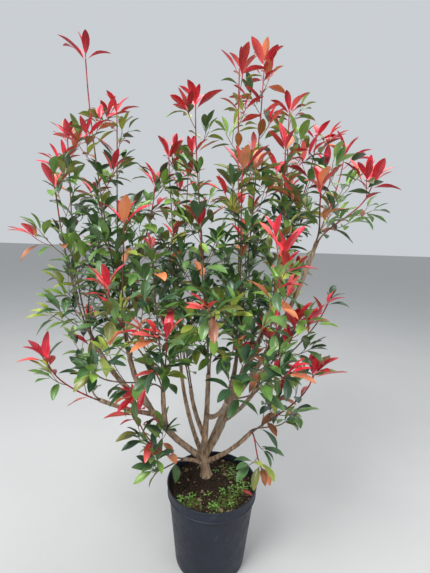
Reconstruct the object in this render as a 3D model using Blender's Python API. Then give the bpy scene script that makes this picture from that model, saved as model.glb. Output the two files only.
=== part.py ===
# Potted red tip photinia: a round plastic pot filled with potting soil, a short trunk that forks just
# above the rim, fifteen stems that lean out from it, and the leafy shoots that fan out from the stems' tips.
# Metres, +Z up, +X to the right and +Y away from the viewer. The origin is the centre of the pot's flat
# underside.

import math
from collections import namedtuple
from random import Random

import bmesh
import bpy
import numpy as np
from mathutils import Vector
from mathutils.bvhtree import BVHTree

up = Vector((0.0, 0.0, 1.0))
air_gap = 0.0003               # between neighbouring solids
golden_angle = math.radians(137.5)
seed = 7

# Pot
pot_height = 0.239
pot_rim_radius = 0.137
pot_base_radius = 0.105
pot_wall = 0.0022
pot_floor = 0.003
pot_segments = 30
base_chamfer = 0.004
collar_foot = 0.207            # height where the wall steps out to the collar
collar_step = 0.0045
collar_slope = 0.002           # height over which the step is made
collar_top_inset = 0.0025      # the collar is this much narrower than the lip
lip_height = 0.004
lip_depth = 0.0045             # radial width of the lip's flat top
drain_holes = 6
drain_hole_radius = 0.006
drain_hole_ring = 0.075

# Soil
soil_level = 0.220
soil_hump = 0.0022
soil_rings = 4
flat_place_radius = 0.034      # level ground that the trunk stands on

# Trunk, from the flat cut at the soil to the fork
trunk_foot = Vector((-0.019, 0.041, soil_level + air_gap))
trunk_fork = Vector((-0.031, 0.039, 0.302))
trunk_flare_radius = 0.0215
trunk_foot_radius = 0.0160
trunk_fork_radius = 0.0130
trunk_flare_height = 0.022
trunk_sides = 10

# Stems. Each leaves its parent part of the way along it, and ends at a tip where shoots begin.
# The bow is how far the middle lies out and down from the straight line, as a share of the length.
Stem = namedtuple("Stem", "name parent share tip bow foot_radius tip_radius")
stems = [
    Stem("stem_centre", "trunk", 0.92, (-0.022, 0.012, 0.565), 0.03, 0.0105, 0.0065),
    Stem("stem_left_leader", "trunk", 0.70, (-0.266, -0.010, 0.660), 0.11, 0.0100, 0.0068),
    Stem("stem_left_inner", "stem_left_leader", 0.28, (-0.142, -0.105, 0.560), 0.12, 0.0075, 0.0062),
    Stem("stem_left_outer", "stem_left_leader", 0.55, (-0.350, -0.030, 0.655), 0.06, 0.0075, 0.0060),
    Stem("stem_far_left", "stem_left_leader", 0.48, (-0.325, -0.070, 0.512), 0.03, 0.0062, 0.0055),
    Stem("stem_low_left", "trunk", 0.45, (-0.092, 0.008, 0.292), -0.06, 0.0065, 0.0055),
    Stem("stem_centre_left", "stem_centre", 0.22, (-0.078, 0.060, 0.500), 0.06, 0.0070, 0.0060),
    Stem("stem_right_centre", "trunk", 0.78, (0.058, 0.020, 0.560), 0.07, 0.0095, 0.0066),
    Stem("stem_right_arch", "stem_right_centre", 0.64, (0.270, -0.040, 0.975), 0.04, 0.0075, 0.0060),
    Stem("stem_right_second", "stem_right_centre", 0.78, (0.190, 0.045, 0.900), 0.05, 0.0072, 0.0060),
    Stem("stem_right_mid", "stem_right_centre", 0.50, (0.120, -0.055, 0.560), 0.05, 0.0065, 0.0056),
    Stem("stem_right_low", "trunk", 0.55, (0.110, -0.030, 0.410), 0.05, 0.0070, 0.0058),
    Stem("stem_front_right", "stem_centre", 0.50, (0.030, -0.125, 0.545), 0.08, 0.0070, 0.0056),
    Stem("stem_back_left", "trunk", 0.62, (-0.120, 0.145, 0.545), 0.08, 0.0080, 0.0060),
    Stem("stem_back_right", "trunk", 0.86, (0.070, 0.150, 0.560), 0.08, 0.0080, 0.0060),
]
stem_sides = 7
stem_step = 0.075              # length of one straight piece of a stem

# Shoots. Each starts at the tip of its stem and carries twigs and leaves up to its own tip; no leaf of it
# lies further than its reach from its line. Young red says how much of it has the new year's red leaves.
Shoot = namedtuple("Shoot", "name stem tip reach young_red")
shoots = [
    Shoot("left_top", "stem_left_leader", (-0.375, -0.055, 1.415), 0.13, 1.0),
    Shoot("left_second", "stem_left_leader", (-0.325, 0.060, 1.320), 0.14, 0.7),
    Shoot("left_inner_top", "stem_left_leader", (-0.205, 0.050, 1.110), 0.15, 0.5),
    Shoot("left_front", "stem_left_leader", (-0.240, -0.160, 0.990), 0.15, 0.3),
    Shoot("outer_top", "stem_left_outer", (-0.460, 0.030, 1.225), 0.14, 0.9),
    Shoot("outer_side", "stem_left_outer", (-0.435, -0.100, 1.080), 0.15, 0.4),
    Shoot("outer_back", "stem_left_outer", (-0.400, 0.160, 1.060), 0.16, 0.2),
    Shoot("far_red", "stem_far_left", (-0.450, -0.090, 0.600), 0.13, 1.0),
    Shoot("far_upper", "stem_far_left", (-0.400, 0.060, 0.680), 0.15, 0.6),
    Shoot("inner_red", "stem_left_inner", (-0.120, -0.220, 0.720), 0.14, 0.6),
    Shoot("inner_up", "stem_left_inner", (-0.170, -0.135, 0.900), 0.14, 0.2),
    Shoot("front_left_top", "stem_left_inner", (-0.240, -0.265, 0.840), 0.16, 0.5),
    Shoot("front_left_low", "stem_left_inner", (-0.290, -0.200, 0.640), 0.15, 0.1),
    Shoot("low_left_red", "stem_low_left", (-0.205, -0.100, 0.465), 0.12, 1.0),
    Shoot("low_rim", "stem_low_left", (-0.165, -0.075, 0.315), 0.11, 0.2),
    Shoot("centre_top", "stem_centre", (-0.085, 0.030, 1.330), 0.14, 1.0),
    Shoot("centre_front", "stem_centre", (-0.050, -0.170, 0.990), 0.15, 0.4),
    Shoot("centre_low", "stem_centre", (-0.010, -0.245, 0.810), 0.16, 0.0),
    Shoot("middle_top", "stem_centre_left", (-0.170, 0.100, 1.210), 0.14, 0.5),
    Shoot("middle_left", "stem_centre_left", (-0.150, -0.010, 0.960), 0.15, 0.0),
    Shoot("crown_top", "stem_right_centre", (0.110, 0.030, 1.450), 0.13, 1.0),
    Shoot("crown_left", "stem_right_centre", (0.035, -0.050, 1.395), 0.13, 1.0),
    Shoot("crown_front", "stem_right_centre", (0.045, -0.170, 1.120), 0.15, 0.5),
    Shoot("crown_right", "stem_right_second", (0.200, 0.080, 1.345), 0.14, 0.8),
    Shoot("second_front", "stem_right_second", (0.165, -0.070, 1.200), 0.14, 0.5),
    Shoot("second_top", "stem_right_second", (0.285, 0.080, 1.265), 0.14, 1.0),
    Shoot("second_back", "stem_right_second", (0.235, 0.210, 1.140), 0.15, 0.3),
    Shoot("arch_top", "stem_right_arch", (0.355, 0.030, 1.200), 0.13, 1.0),
    Shoot("arch_side", "stem_right_arch", (0.405, -0.040, 1.110), 0.13, 1.0),
    Shoot("arch_front", "stem_right_arch", (0.235, -0.170, 1.080), 0.15, 0.6),
    Shoot("right_red", "stem_right_mid", (0.190, -0.150, 0.740), 0.15, 0.8),
    Shoot("right_far", "stem_right_mid", (0.310, -0.030, 0.790), 0.11, 0.3),
    Shoot("right_up", "stem_right_mid", (0.145, -0.120, 0.900), 0.14, 0.2),
    Shoot("low_right_red", "stem_right_low", (0.255, -0.100, 0.590), 0.12, 0.9),
    Shoot("low_right", "stem_right_low", (0.215, 0.010, 0.420), 0.12, 0.1),
    Shoot("low_right_droop", "stem_right_low", (0.125, -0.095, 0.370), 0.11, 0.9),
    Shoot("back_left_top", "stem_back_left", (-0.120, 0.225, 1.170), 0.16, 0.4),
    Shoot("back_left_side", "stem_back_left", (-0.290, 0.210, 0.870), 0.16, 0.2),
    Shoot("back_right_top", "stem_back_right", (0.100, 0.225, 1.210), 0.16, 0.4),
    Shoot("back_right_side", "stem_back_right", (0.260, 0.210, 0.830), 0.16, 0.2),
    Shoot("front_right_top", "stem_front_right", (0.135, -0.265, 0.930), 0.16, 0.4),
    Shoot("front_right_low", "stem_front_right", (0.100, -0.255, 0.650), 0.15, 0.1),
]
shoot_step = 0.11              # length of one straight piece of a shoot's line
shoot_tip_radius = 0.0016
shoot_rise = 0.7               # how strongly a shoot turns upward at its end
# How the shoots on one stem tip share its end: how far out each stands and how thick it is, both as shares
# of the tip's radius, by the number of shoots
slot_offset = {1: 0.0, 2: 0.50, 3: 0.55, 4: 0.62}
slot_radius = {1: 0.60, 2: 0.42, 3: 0.42, 4: 0.36}

# Twigs and leaves
twig_spacing = 0.097           # along the shoot
twig_first = 0.10              # share of the shoot below which it bears no twig
twig_last = 0.94
twig_angle = math.radians(52)
twig_rise = 0.25               # how strongly a twig is turned upward
twig_share = 0.62              # of the shoot's reach
twig_taper = 0.45              # the topmost twigs are shorter by this share
twig_foot_radius = 0.60        # share of the shoot's radius where it stands
twig_tip_radius = 0.0010
leaf_length = 0.101
leaf_width = 0.43              # share of the length
leaf_thickness = 0.014         # share of the length
leaf_belly = 0.28              # where the leaf is thickest
leaf_shoulder = 0.50           # where it is widest
leaf_fold = 0.13               # how far the edges rise above the midrib, as a share of the width
leaf_droop = 0.10              # how far the tip bends down, as a share of the length
leaf_root_depth = 0.0003       # the root lies this far beyond the twig's line
leaf_angle = math.radians(55)
leaf_first = 0.08              # share of the shoot below which it bears no leaf
twig_leaf_first = 0.35
root_clearance = 0.010         # this close to its root a leaf or twig may touch its carrier
shoot_leaf_spacing = 0.068
twig_leaf_spacing = 0.032
tip_leaves = 4
tip_leaf_angle = math.radians(34)
tip_leaf_step = 0.006
tries = 4                      # for each twig and leaf, turned on round its carrier each time
space_margin = 0.0025          # between one shoot's space and the next
limb_margin = 0.0025           # between a leaf or twig and a stem
pot_margin = 0.004
twig_tip_youth = 0.45          # of a leaf at the tip of a twig low on the shoot
red_from = 1.25                # leaves younger than this, less the shoot's share of young red, are red
red_share = 0.55
olive_from = 0.78
dark_below = 0.80              # height under which old leaves are dark
below_rim = 0.02               # how far below the rim a leaf may hang outside the pot


def clear_scene():
    for item in list(bpy.data.objects):
        bpy.data.objects.remove(item, do_unlink=True)


def surface(name, colour, roughness):
    material = bpy.data.materials.new(name)
    material.use_nodes = True
    shader = material.node_tree.nodes["Principled BSDF"]
    shader.inputs["Base Color"].default_value = (*colour, 1.0)
    shader.inputs["Roughness"].default_value = roughness
    shader.inputs["Metallic"].default_value = 0.0
    return material


# Meshes

def add_object(name, vertices, faces, material):
    mesh = bpy.data.meshes.new(name)
    mesh.from_pydata([tuple(v) for v in vertices], [], faces)
    mesh.materials.append(material)
    item = bpy.data.objects.new(name, mesh)
    bpy.context.scene.collection.objects.link(item)
    return item


# A closed solid turned from a profile of (radius, height) points that runs outward along the underside,
# up the outside and back to the axis. The height may be changed by a function of the place.
def lathe(profile, segments, height=lambda x, y, z: z):
    vertices, rings = [], []
    for radius, z in profile:
        if radius == 0.0:
            rings.append([len(vertices)])
            vertices.append((0.0, 0.0, height(0.0, 0.0, z)))
            continue
        rings.append(list(range(len(vertices), len(vertices) + segments)))
        for k in range(segments):
            turn = 2 * math.pi * k / segments
            x, y = radius * math.cos(turn), radius * math.sin(turn)
            vertices.append((x, y, height(x, y, z)))
    faces = []
    for low, high in zip(rings, rings[1:]):
        for k in range(segments):
            n = (k + 1) % segments
            if len(low) == 1:
                faces.append((low[0], high[n], high[k]))
            elif len(high) == 1:
                faces.append((low[k], low[n], high[0]))
            else:
                faces.append((low[k], low[n], high[n], high[k]))
    return vertices, faces


# A closed tube round a line of points, its sides carried along without twisting
def tube(points, radii, sides, first_tangent=None, turn=0.0):
    tangents = []
    for k in range(len(points)):
        ahead = points[min(k + 1, len(points) - 1)] - points[max(k - 1, 0)]
        tangents.append(ahead.normalized())
    if first_tangent is not None:
        tangents[0] = first_tangent
    side = tangents[0].orthogonal().normalized()
    vertices = []
    for point, tangent, radius in zip(points, tangents, radii):
        side = (side - tangent * side.dot(tangent)).normalized()
        other = tangent.cross(side)
        for k in range(sides):
            angle = turn + 2 * math.pi * k / sides
            vertices.append(point + radius * (math.cos(angle) * side + math.sin(angle) * other))
    faces = [tuple(reversed(range(sides)))]
    for ring in range(len(points) - 1):
        a = ring * sides
        for k in range(sides):
            n = (k + 1) % sides
            faces.append((a + k, a + n, a + sides + n, a + sides + k))
    last = (len(points) - 1) * sides
    faces.append(tuple(last + k for k in range(sides)))
    return vertices, faces


# A leaf of eight faces: root, tip, two shoulders, and a middle point above and below
def leaf_solid(root, direction, normal, length):
    across = direction.cross(normal).normalized()
    normal = across.cross(direction).normalized()
    half = 0.5 * leaf_width * length
    thick = 0.5 * leaf_thickness * length
    lift = leaf_fold * 2 * half
    middle = root + direction * (leaf_belly * length)
    shoulder = root + direction * (leaf_shoulder * length) + normal * lift
    vertices = [
        root - direction * leaf_root_depth,
        shoulder - across * half,
        shoulder + across * half,
        root + direction * length - normal * (leaf_droop * length),
        middle + normal * thick,
        middle - normal * thick,
    ]
    faces = [(0, 2, 4), (2, 3, 4), (3, 1, 4), (1, 0, 4), (2, 0, 5), (3, 2, 5), (1, 3, 5), (0, 1, 5)]
    return vertices, faces


# Joined meshes

def applied_mesh(item):
    bpy.context.view_layer.update()
    evaluated = item.evaluated_get(bpy.context.evaluated_depsgraph_get())
    mesh = bpy.data.meshes.new_from_object(evaluated)
    item.modifiers.clear()
    item.data = mesh


# Keeps the largest closed piece of a mesh, which drops loose scraps and the walls of sealed hollows
def keep_main_piece(item):
    shape = bmesh.new()
    shape.from_mesh(item.data)
    left = set(shape.faces)
    pieces = []
    while left:
        piece = {left.pop()}
        front = list(piece)
        while front:
            for edge in front.pop().edges:
                for face in edge.link_faces:
                    if face in left:
                        left.discard(face)
                        piece.add(face)
                        front.append(face)
        pieces.append(piece)
    keep = max(pieces, key=lambda piece: sum(face.calc_area() for face in piece))
    bmesh.ops.delete(shape, geom=[face for face in shape.faces if face not in keep], context="FACES")
    loose = [v for v in shape.verts if not v.link_faces]
    bmesh.ops.delete(shape, geom=loose, context="VERTS")
    shape.to_mesh(item.data)
    shape.free()


def boolean_with_all(item, others, operation, solver="EXACT"):
    group = bpy.data.collections.new("operands")
    for other in others:
        for home in list(other.users_collection):
            home.objects.unlink(other)
        group.objects.link(other)
    bpy.context.scene.collection.children.link(group)
    modifier = item.modifiers.new(operation.lower(), "BOOLEAN")
    modifier.operand_type = "COLLECTION"
    modifier.collection = group
    modifier.operation = operation
    modifier.solver = solver
    if solver == "EXACT":
        modifier.material_mode = "TRANSFER"
    applied_mesh(item)
    for other in others:
        bpy.data.objects.remove(other, do_unlink=True)
    bpy.data.collections.remove(group)


def is_closed(item):
    shape = bmesh.new()
    shape.from_mesh(item.data)
    closed = len(shape.faces) > 0 and all(len(edge.link_faces) == 2 for edge in shape.edges)
    shape.free()
    return closed


# Pot and soil

def wall_radius(z):
    share = z / collar_foot
    top = pot_rim_radius - collar_top_inset - collar_step
    return pot_base_radius + (top - pot_base_radius) * share


def collar_radius(z):
    return pot_rim_radius - collar_top_inset + (z - pot_height) * 0.02


def inner_radius(z):
    if z <= collar_foot + pot_wall:
        return wall_radius(min(z, collar_foot)) - pot_wall
    return collar_radius(z) - pot_wall


def make_pot(material):
    lip_foot = pot_height - lip_height
    profile = [
        (0.0, 0.0),
        (pot_base_radius - base_chamfer, 0.0),
        (wall_radius(base_chamfer), base_chamfer),
        (wall_radius(collar_foot), collar_foot),
        (collar_radius(collar_foot), collar_foot + collar_slope),
        (collar_radius(lip_foot), lip_foot),
        (pot_rim_radius, lip_foot + collar_slope / 2),
        (pot_rim_radius, pot_height - collar_slope / 4),
        (pot_rim_radius - collar_slope / 4, pot_height),
        (pot_rim_radius - lip_depth, pot_height),
        (inner_radius(lip_foot), lip_foot),
        (inner_radius(collar_foot + 2 * pot_wall), collar_foot + collar_slope + pot_wall),
        (inner_radius(collar_foot), collar_foot + pot_wall),
        (inner_radius(pot_floor), pot_floor),
        (0.0, pot_floor),
    ]
    vertices, faces = lathe(profile, pot_segments)
    pot = add_object("pot", vertices, faces, material)
    drills = []
    for k in range(drain_holes):
        turn = 2 * math.pi * (k + 0.5) / drain_holes
        centre = Vector((math.cos(turn), math.sin(turn), 0.0)) * drain_hole_ring
        ends = [centre - up * pot_floor, centre + up * 2 * pot_floor]
        drills.append(add_object("drill", *tube(ends, [drain_hole_radius] * 2, 8), material))
    boolean_with_all(pot, drills, "DIFFERENCE")
    pot.data.shade_smooth()
    pot.data.set_sharp_from_angle(angle=math.radians(35))
    return pot


# The soil's surface rolls gently, and is highest on the level place under the trunk
def soil_height(x, y, z):
    if z < soil_level - 1e-6:
        return z
    away = math.hypot(x - trunk_foot.x, y - trunk_foot.y)
    blend = min(max((away - flat_place_radius) / flat_place_radius, 0.0), 1.0)
    roll = math.sin(61 * x + 0.7) * math.cos(47 * y - 0.4) + 0.6 * math.sin(93 * y + 55 * x)
    return z + soil_hump * blend * (roll - 1.6)


def make_soil(material):
    low, step = pot_floor + air_gap, collar_foot + pot_wall
    edge = inner_radius(soil_level) - air_gap
    profile = [
        (0.0, low),
        (inner_radius(low) - air_gap, low),
        (inner_radius(collar_foot) - air_gap, step + air_gap),
        (inner_radius(step + pot_wall) - air_gap, step + collar_slope + 3 * air_gap),
        (edge, soil_level - 4 * soil_hump),
    ]
    for k in range(soil_rings, 0, -1):
        profile.append((edge * (k - 0.15) / soil_rings, soil_level))
    profile.append((0.0, soil_level))
    vertices, faces = lathe(profile, pot_segments, soil_height)
    return add_object("potting_soil", vertices, faces, material)


# Limb lines

Line = namedtuple("Line", "points radii")


def point_on(line, share):
    place = share * (len(line.points) - 1)
    k = min(int(place), len(line.points) - 2)
    return line.points[k].lerp(line.points[k + 1], place - k)


def radius_at(line, share):
    place = share * (len(line.radii) - 1)
    k = min(int(place), len(line.radii) - 2)
    return line.radii[k] + (line.radii[k + 1] - line.radii[k]) * (place - k)


def tip_direction(line):
    return (line.points[-1] - line.points[-2]).normalized()


def trunk_line():
    lean = trunk_fork - trunk_foot
    flare = trunk_flare_height / lean.length
    shares = [0.0, 0.4 * flare, flare, 0.5 * (1 + flare), 1.0]
    points = [trunk_foot + lean * share for share in shares]
    middle = 0.5 * (trunk_flare_radius + trunk_foot_radius)
    halfway = 0.5 * (trunk_foot_radius + trunk_fork_radius)
    radii = [trunk_flare_radius, middle - 0.001, trunk_foot_radius, halfway, trunk_fork_radius]
    return Line(points, radii)


# A stem's line is a parabola through its foot, its tip and a middle pushed out and down by the bow
def stem_line(stem, parent):
    foot = point_on(parent, stem.share)
    tip = Vector(stem.tip)
    chord = tip - foot
    direction = chord.normalized()
    outward = (direction * direction.z - up).normalized()
    middle = foot + chord * 0.5 + outward * (2 * stem.bow * chord.length)
    count = max(3, round(chord.length / stem_step)) + 1
    points, radii = [], []
    for k in range(count):
        t = k / (count - 1)
        points.append(foot * (1 - t) ** 2 + middle * (2 * t * (1 - t)) + tip * t ** 2)
        radii.append(stem.foot_radius + (stem.tip_radius - stem.foot_radius) * t)
    return Line(points, radii)


# A stem is cut to 0.3 mm from every limb that it meets on its way out of its parent
def make_limbs(material):
    lines = {"trunk": trunk_line()}
    trunk = add_object("trunk", *tube(*lines["trunk"], trunk_sides, first_tangent=up), material)
    limbs = {"trunk": trunk}
    for stem in stems:
        line = stem_line(stem, lines[stem.parent])
        limb = add_object(stem.name, *tube(*line, stem_sides), material)
        own = mesh_tree(limb.data)
        cutters = []
        for name, other in limbs.items():
            sides = trunk_sides if name == "trunk" else stem_sides
            wide = [radius + air_gap / math.cos(math.pi / sides) for radius in lines[name].radii]
            points = list(lines[name].points)
            points[-1] = points[-1] + tip_direction(lines[name]) * air_gap
            cutter_shape = tube(points, wide, sides)
            if own.overlap(BVHTree.FromPolygons(*cutter_shape)):
                cutters.append(add_object("cutter", *cutter_shape, material))
        if cutters:
            boolean_with_all(limb, cutters, "DIFFERENCE")
            keep_main_piece(limb)
        lines[stem.name] = line
        limbs[stem.name] = limb
    for limb in limbs.values():
        limb.data.shade_smooth()
        limb.data.set_sharp_from_angle(angle=math.radians(60))
    return lines


def mesh_tree(mesh):
    return BVHTree.FromPolygons([v.co for v in mesh.vertices], [tuple(p.vertices) for p in mesh.polygons])


# Shoots

# A shoot's line leaves the stem's tip in the stem's direction and ends turned upward
def shoot_line(shoot, line, slot, count_on_tip):
    direction = tip_direction(line)
    tip_radius = line.radii[-1]
    target = Vector(shoot.tip)
    foot = line.points[-1] + direction * air_gap + slot * (slot_offset[count_on_tip] * tip_radius)
    chord = target - foot
    leave = direction * (0.75 * chord.length)
    rise = shoot_rise * max(chord.normalized().z + shoot_rise, 0.0)
    arrive = (chord.normalized() + up * rise).normalized() * (0.9 * chord.length)
    count = min(max(3, round(chord.length / shoot_step)), 7) + 1
    foot_radius = slot_radius[count_on_tip] * tip_radius
    points, radii = [], []
    for k in range(count):
        t = k / (count - 1)
        a, b = 2 * t ** 3 - 3 * t ** 2 + 1, t ** 3 - 2 * t ** 2 + t
        c, d = 3 * t ** 2 - 2 * t ** 3, t ** 3 - t ** 2
        points.append(foot * a + leave * b + target * c + arrive * d)
        radii.append(foot_radius + (shoot_tip_radius - foot_radius) * t)
    return Line(points, radii)


# The shoots on one stem tip stand round its end in the order of the directions they go
def slots_on_tip(members, line):
    if len(members) == 1:
        return {members[0].name: Vector((0.0, 0.0, 0.0))}
    direction = tip_direction(line)
    side = direction.orthogonal().normalized()
    other = direction.cross(side)
    bearings = []
    for shoot in members:
        way = Vector(shoot.tip) - line.points[-1]
        bearings.append((math.atan2(way.dot(other), way.dot(side)), shoot.name))
    bearings.sort()
    step = 2 * math.pi / len(members)
    turns = [bearing - step * k for k, (bearing, name) in enumerate(bearings)]
    start = math.atan2(sum(math.sin(t) for t in turns), sum(math.cos(t) for t in turns))
    slots = {}
    for k, (bearing, name) in enumerate(bearings):
        turn = start + step * k
        slots[name] = side * math.cos(turn) + other * math.sin(turn)
    return slots


# Which shoot's space a point lies in: nearer to that shoot's line than to any other's, within its reach,
# clear of every stem and of the pot
class Spaces:
    def __init__(self, shoot_lines, limb_lines):
        self.names = list(shoot_lines)
        starts, ends, owners = [], [], []
        for k, name in enumerate(self.names):
            points = shoot_lines[name].points
            starts += points[:-1]
            ends += points[1:]
            owners += [k] * (len(points) - 1)
        self.starts, self.ends = np.array(starts), np.array(ends)
        self.owners = np.array(owners)
        starts, ends, radii = [], [], []
        for line in limb_lines.values():
            starts += line.points[:-1]
            ends += line.points[1:]
            radii += line.radii[:-1]
        self.limb_starts, self.limb_ends, self.limb_radii = np.array(starts), np.array(ends), np.array(radii)

    @staticmethod
    def distances(places, starts, ends):
        along = ends - starts
        share = np.einsum("psk,sk->ps", places[:, None, :] - starts[None], along) / (along ** 2).sum(1)
        nearest = starts[None] + np.clip(share, 0, 1)[..., None] * along[None]
        return np.linalg.norm(places[:, None, :] - nearest, axis=2)

    def holds(self, name, reach, places):
        places = np.array(places)
        distance = self.distances(places, self.starts, self.ends)
        mine = self.owners == self.names.index(name)
        own, other = distance[:, mine].min(1), distance[:, ~mine].min(1)
        if (own > reach).any() or (other - own < space_margin).any():
            return False
        clear = self.distances(places, self.limb_starts, self.limb_ends) - self.limb_radii
        if clear.min() < limb_margin:
            return False
        low = places[:, 2] < pot_height + pot_margin
        outside = np.hypot(places[:, 0], places[:, 1]) > pot_rim_radius + pot_margin
        return not (low & ~(outside & (places[:, 2] > pot_height - below_rim))).any()


# Points spread over a solid's faces, its corners among them
def sample_points(vertices, faces):
    places = list(vertices)
    for face in faces:
        corners = [vertices[k] for k in face]
        places.append(sum(corners, Vector()) / len(corners))
        places += [(a + b) / 2 for a, b in zip(corners, corners[1:])]
    return places


# Everything placed so far, to keep one leaf from running through another
class Placed:
    def __init__(self):
        self.centres, self.radii, self.trees = [], [], []

    def add(self, vertices, faces):
        centre = sum(vertices, Vector()) / len(vertices)
        self.centres.append(centre)
        self.radii.append(max((v - centre).length for v in vertices))
        self.trees.append(BVHTree.FromPolygons(vertices, faces))
        return len(self.trees) - 1

    def touches(self, vertices, faces, apart_from):
        centre = sum(vertices, Vector()) / len(vertices)
        radius = max((v - centre).length for v in vertices)
        away = np.linalg.norm(np.array(self.centres) - np.array(centre), axis=1)
        near = np.nonzero(away < np.array(self.radii) + radius)[0]
        tree = BVHTree.FromPolygons(vertices, faces)
        return any(k not in apart_from and tree.overlap(self.trees[k]) for k in near)


def frame_at(line, share):
    ahead = point_on(line, min(share + 0.02, 1.0)) - point_on(line, max(share - 0.02, 0.0))
    tangent = ahead.normalized()
    side = tangent.cross(up)
    side = side.normalized() if side.length > 1e-3 else Vector((1.0, 0.0, 0.0))
    return tangent, side, side.cross(tangent)


def around(line, share, turn, angle):
    tangent, side, other = frame_at(line, share)
    radial = side * math.cos(turn) + other * math.sin(turn)
    return (tangent * math.cos(angle) + radial * math.sin(angle)).normalized()


def length_of(line):
    return sum((b - a).length for a, b in zip(line.points, line.points[1:]))


Twig = namedtuple("Twig", "line solid index share")
shoot_index = {}               # where each shoot's own line stands among the placed solids


# The twigs of one shoot: set round its line a golden angle apart, each turned a little upward
def grow_twigs(shoot, line, spaces, placed, rng):
    length = length_of(line)
    count = max(1, round(length * (1 - twig_first) / twig_spacing))
    turn = rng.uniform(0, 2 * math.pi)
    twigs = []
    for k in range(count):
        share = twig_first + (twig_last - twig_first) * (k + 0.5) / count
        turn += golden_angle
        reach = shoot.reach * twig_share * (1 - twig_taper * share) * rng.uniform(0.85, 1.1)
        root = point_on(line, share)
        radii = [twig_foot_radius * radius_at(line, share), twig_tip_radius]
        for attempt in range(tries):
            direction = around(line, share, turn + attempt * golden_angle, twig_angle)
            points = [root, root + (direction + up * twig_rise).normalized() * reach]
            solid = tube(points, radii, 3)
            outer = [v for v in sample_points(*solid) if (v - root).length > 0.8 * root_clearance]
            if not spaces.holds(shoot.name, shoot.reach, outer):
                continue
            if not placed.touches(*solid, {shoot_index[shoot.name]}):
                twigs.append(Twig(Line(points, radii), solid, placed.add(*solid), share))
                break
    return twigs


# The places of one shoot's leaves: in whorls at the tips, turned up, then singly down the twigs and the
# shoot. Youth is 1 at the shoot's own tip and falls towards its foot.
Site = namedtuple("Site", "carrier index share turn angle scale youth")


def leaf_sites(shoot, line, twigs, rng):
    index = shoot_index[shoot.name]
    carriers = [(line, index, leaf_first, shoot_leaf_spacing, tip_leaves, 1.0, 0.7)]
    for twig in twigs:
        at_tip = twig_tip_youth + (1 - twig_tip_youth) * twig.share
        carriers.append((twig.line, twig.index, twig_leaf_first, twig_leaf_spacing, tip_leaves - 2, at_tip,
                         twig.share / 2))
    tips, sides = [], []
    for carrier, index, first, spacing, at_tip, tip_youth, side_youth in carriers:
        length = length_of(carrier)
        turn = rng.uniform(0, 2 * math.pi)
        for k in range(at_tip):
            turn += golden_angle
            share = 1 - (0.002 + tip_leaf_step * k) / length
            tips.append(Site(carrier, index, share, turn, tip_leaf_angle, rng.uniform(0.85, 1.05), tip_youth))
        last = 1 - tip_leaf_step * at_tip / length
        count = max(0, round(length * (last - first) / spacing))
        for k in range(count):
            turn += golden_angle
            share = first + (last - first) * (k + 0.3) / count
            youth = side_youth * share
            sides.append(Site(carrier, index, share, turn, leaf_angle, rng.uniform(0.85, 1.1), youth))
    return tips + sides


def leaf_colour(shoot, site, height, rng):
    youth = site.youth + rng.uniform(-0.12, 0.12)
    if youth > red_from - red_share * shoot.young_red:
        return "red"
    if youth > olive_from:
        return "olive"
    return "green" if height > dark_below else "dark"


def grow_leaves(shoot, sites, spaces, placed, rng):
    leaves = []
    for site in sites:
        root = point_on(site.carrier, site.share)
        for attempt in range(tries):
            direction = around(site.carrier, site.share, site.turn + attempt * golden_angle, site.angle)
            flat = (direction + up * rng.uniform(-0.15, 0.25)).normalized()
            side = flat.cross(up)
            side = side.normalized() if side.length > 0.05 else Vector((1.0, 0.0, 0.0))
            normal = side.cross(flat) + side * rng.uniform(-0.35, 0.35)
            solid = leaf_solid(root, flat, normal.normalized(), leaf_length * site.scale)
            outer = [v for v in sample_points(*solid) if (v - root).length > root_clearance]
            if spaces.holds(shoot.name, shoot.reach, outer) and not placed.touches(*solid, {site.index}):
                placed.add(*solid)
                leaves.append((solid, leaf_colour(shoot, site, root.z, rng)))
                break
    return leaves


def make_shoots(limb_lines, bark, materials):
    lines, slots = {}, {}
    for stem in stems:
        members = [shoot for shoot in shoots if shoot.stem == stem.name]
        slots.update(slots_on_tip(members, limb_lines[stem.name]))
    for shoot in shoots:
        together = sum(other.stem == shoot.stem for other in shoots)
        lines[shoot.name] = shoot_line(shoot, limb_lines[shoot.stem], slots[shoot.name], together)
    spaces = Spaces(lines, limb_lines)
    placed = Placed()
    cores, twigs = {}, {}
    for shoot in shoots:
        line = lines[shoot.name]
        cores[shoot.name] = tube(line.points, line.radii, 3, first_tangent=tip_direction(limb_lines[shoot.stem]))
        shoot_index[shoot.name] = placed.add(*cores[shoot.name])
    for k, shoot in enumerate(shoots):
        twigs[shoot.name] = grow_twigs(shoot, lines[shoot.name], spaces, placed, Random(seed + k))
    for k, shoot in enumerate(shoots):
        rng = Random(seed + 100 + k)
        sites = leaf_sites(shoot, lines[shoot.name], twigs[shoot.name], rng)
        leaves = grow_leaves(shoot, sites, spaces, placed, rng)
        fuse("foliage_" + shoot.name, cores[shoot.name], twigs[shoot.name], leaves, bark, materials)


# One closed solid from a shoot's line, its twigs and its leaves. Where the exact solver leaves an open edge
# the other one is used, and then the last leaves are given up one by one.
def fuse(name, core, twigs, leaves, bark, materials):
    for fewer in range(len(leaves)):
        for solver in ("EXACT", "MANIFOLD"):
            mass = add_object(name, *core, bark)
            operands = [add_object("piece", *twig.solid, bark) for twig in twigs]
            for solid, colour in leaves[:len(leaves) - fewer]:
                operands.append(add_object("piece", *solid, materials[colour]))
            boolean_with_all(mass, operands, "UNION", solver)
            keep_main_piece(mass)
            if is_closed(mass):
                return
            bpy.data.objects.remove(mass, do_unlink=True)


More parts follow.
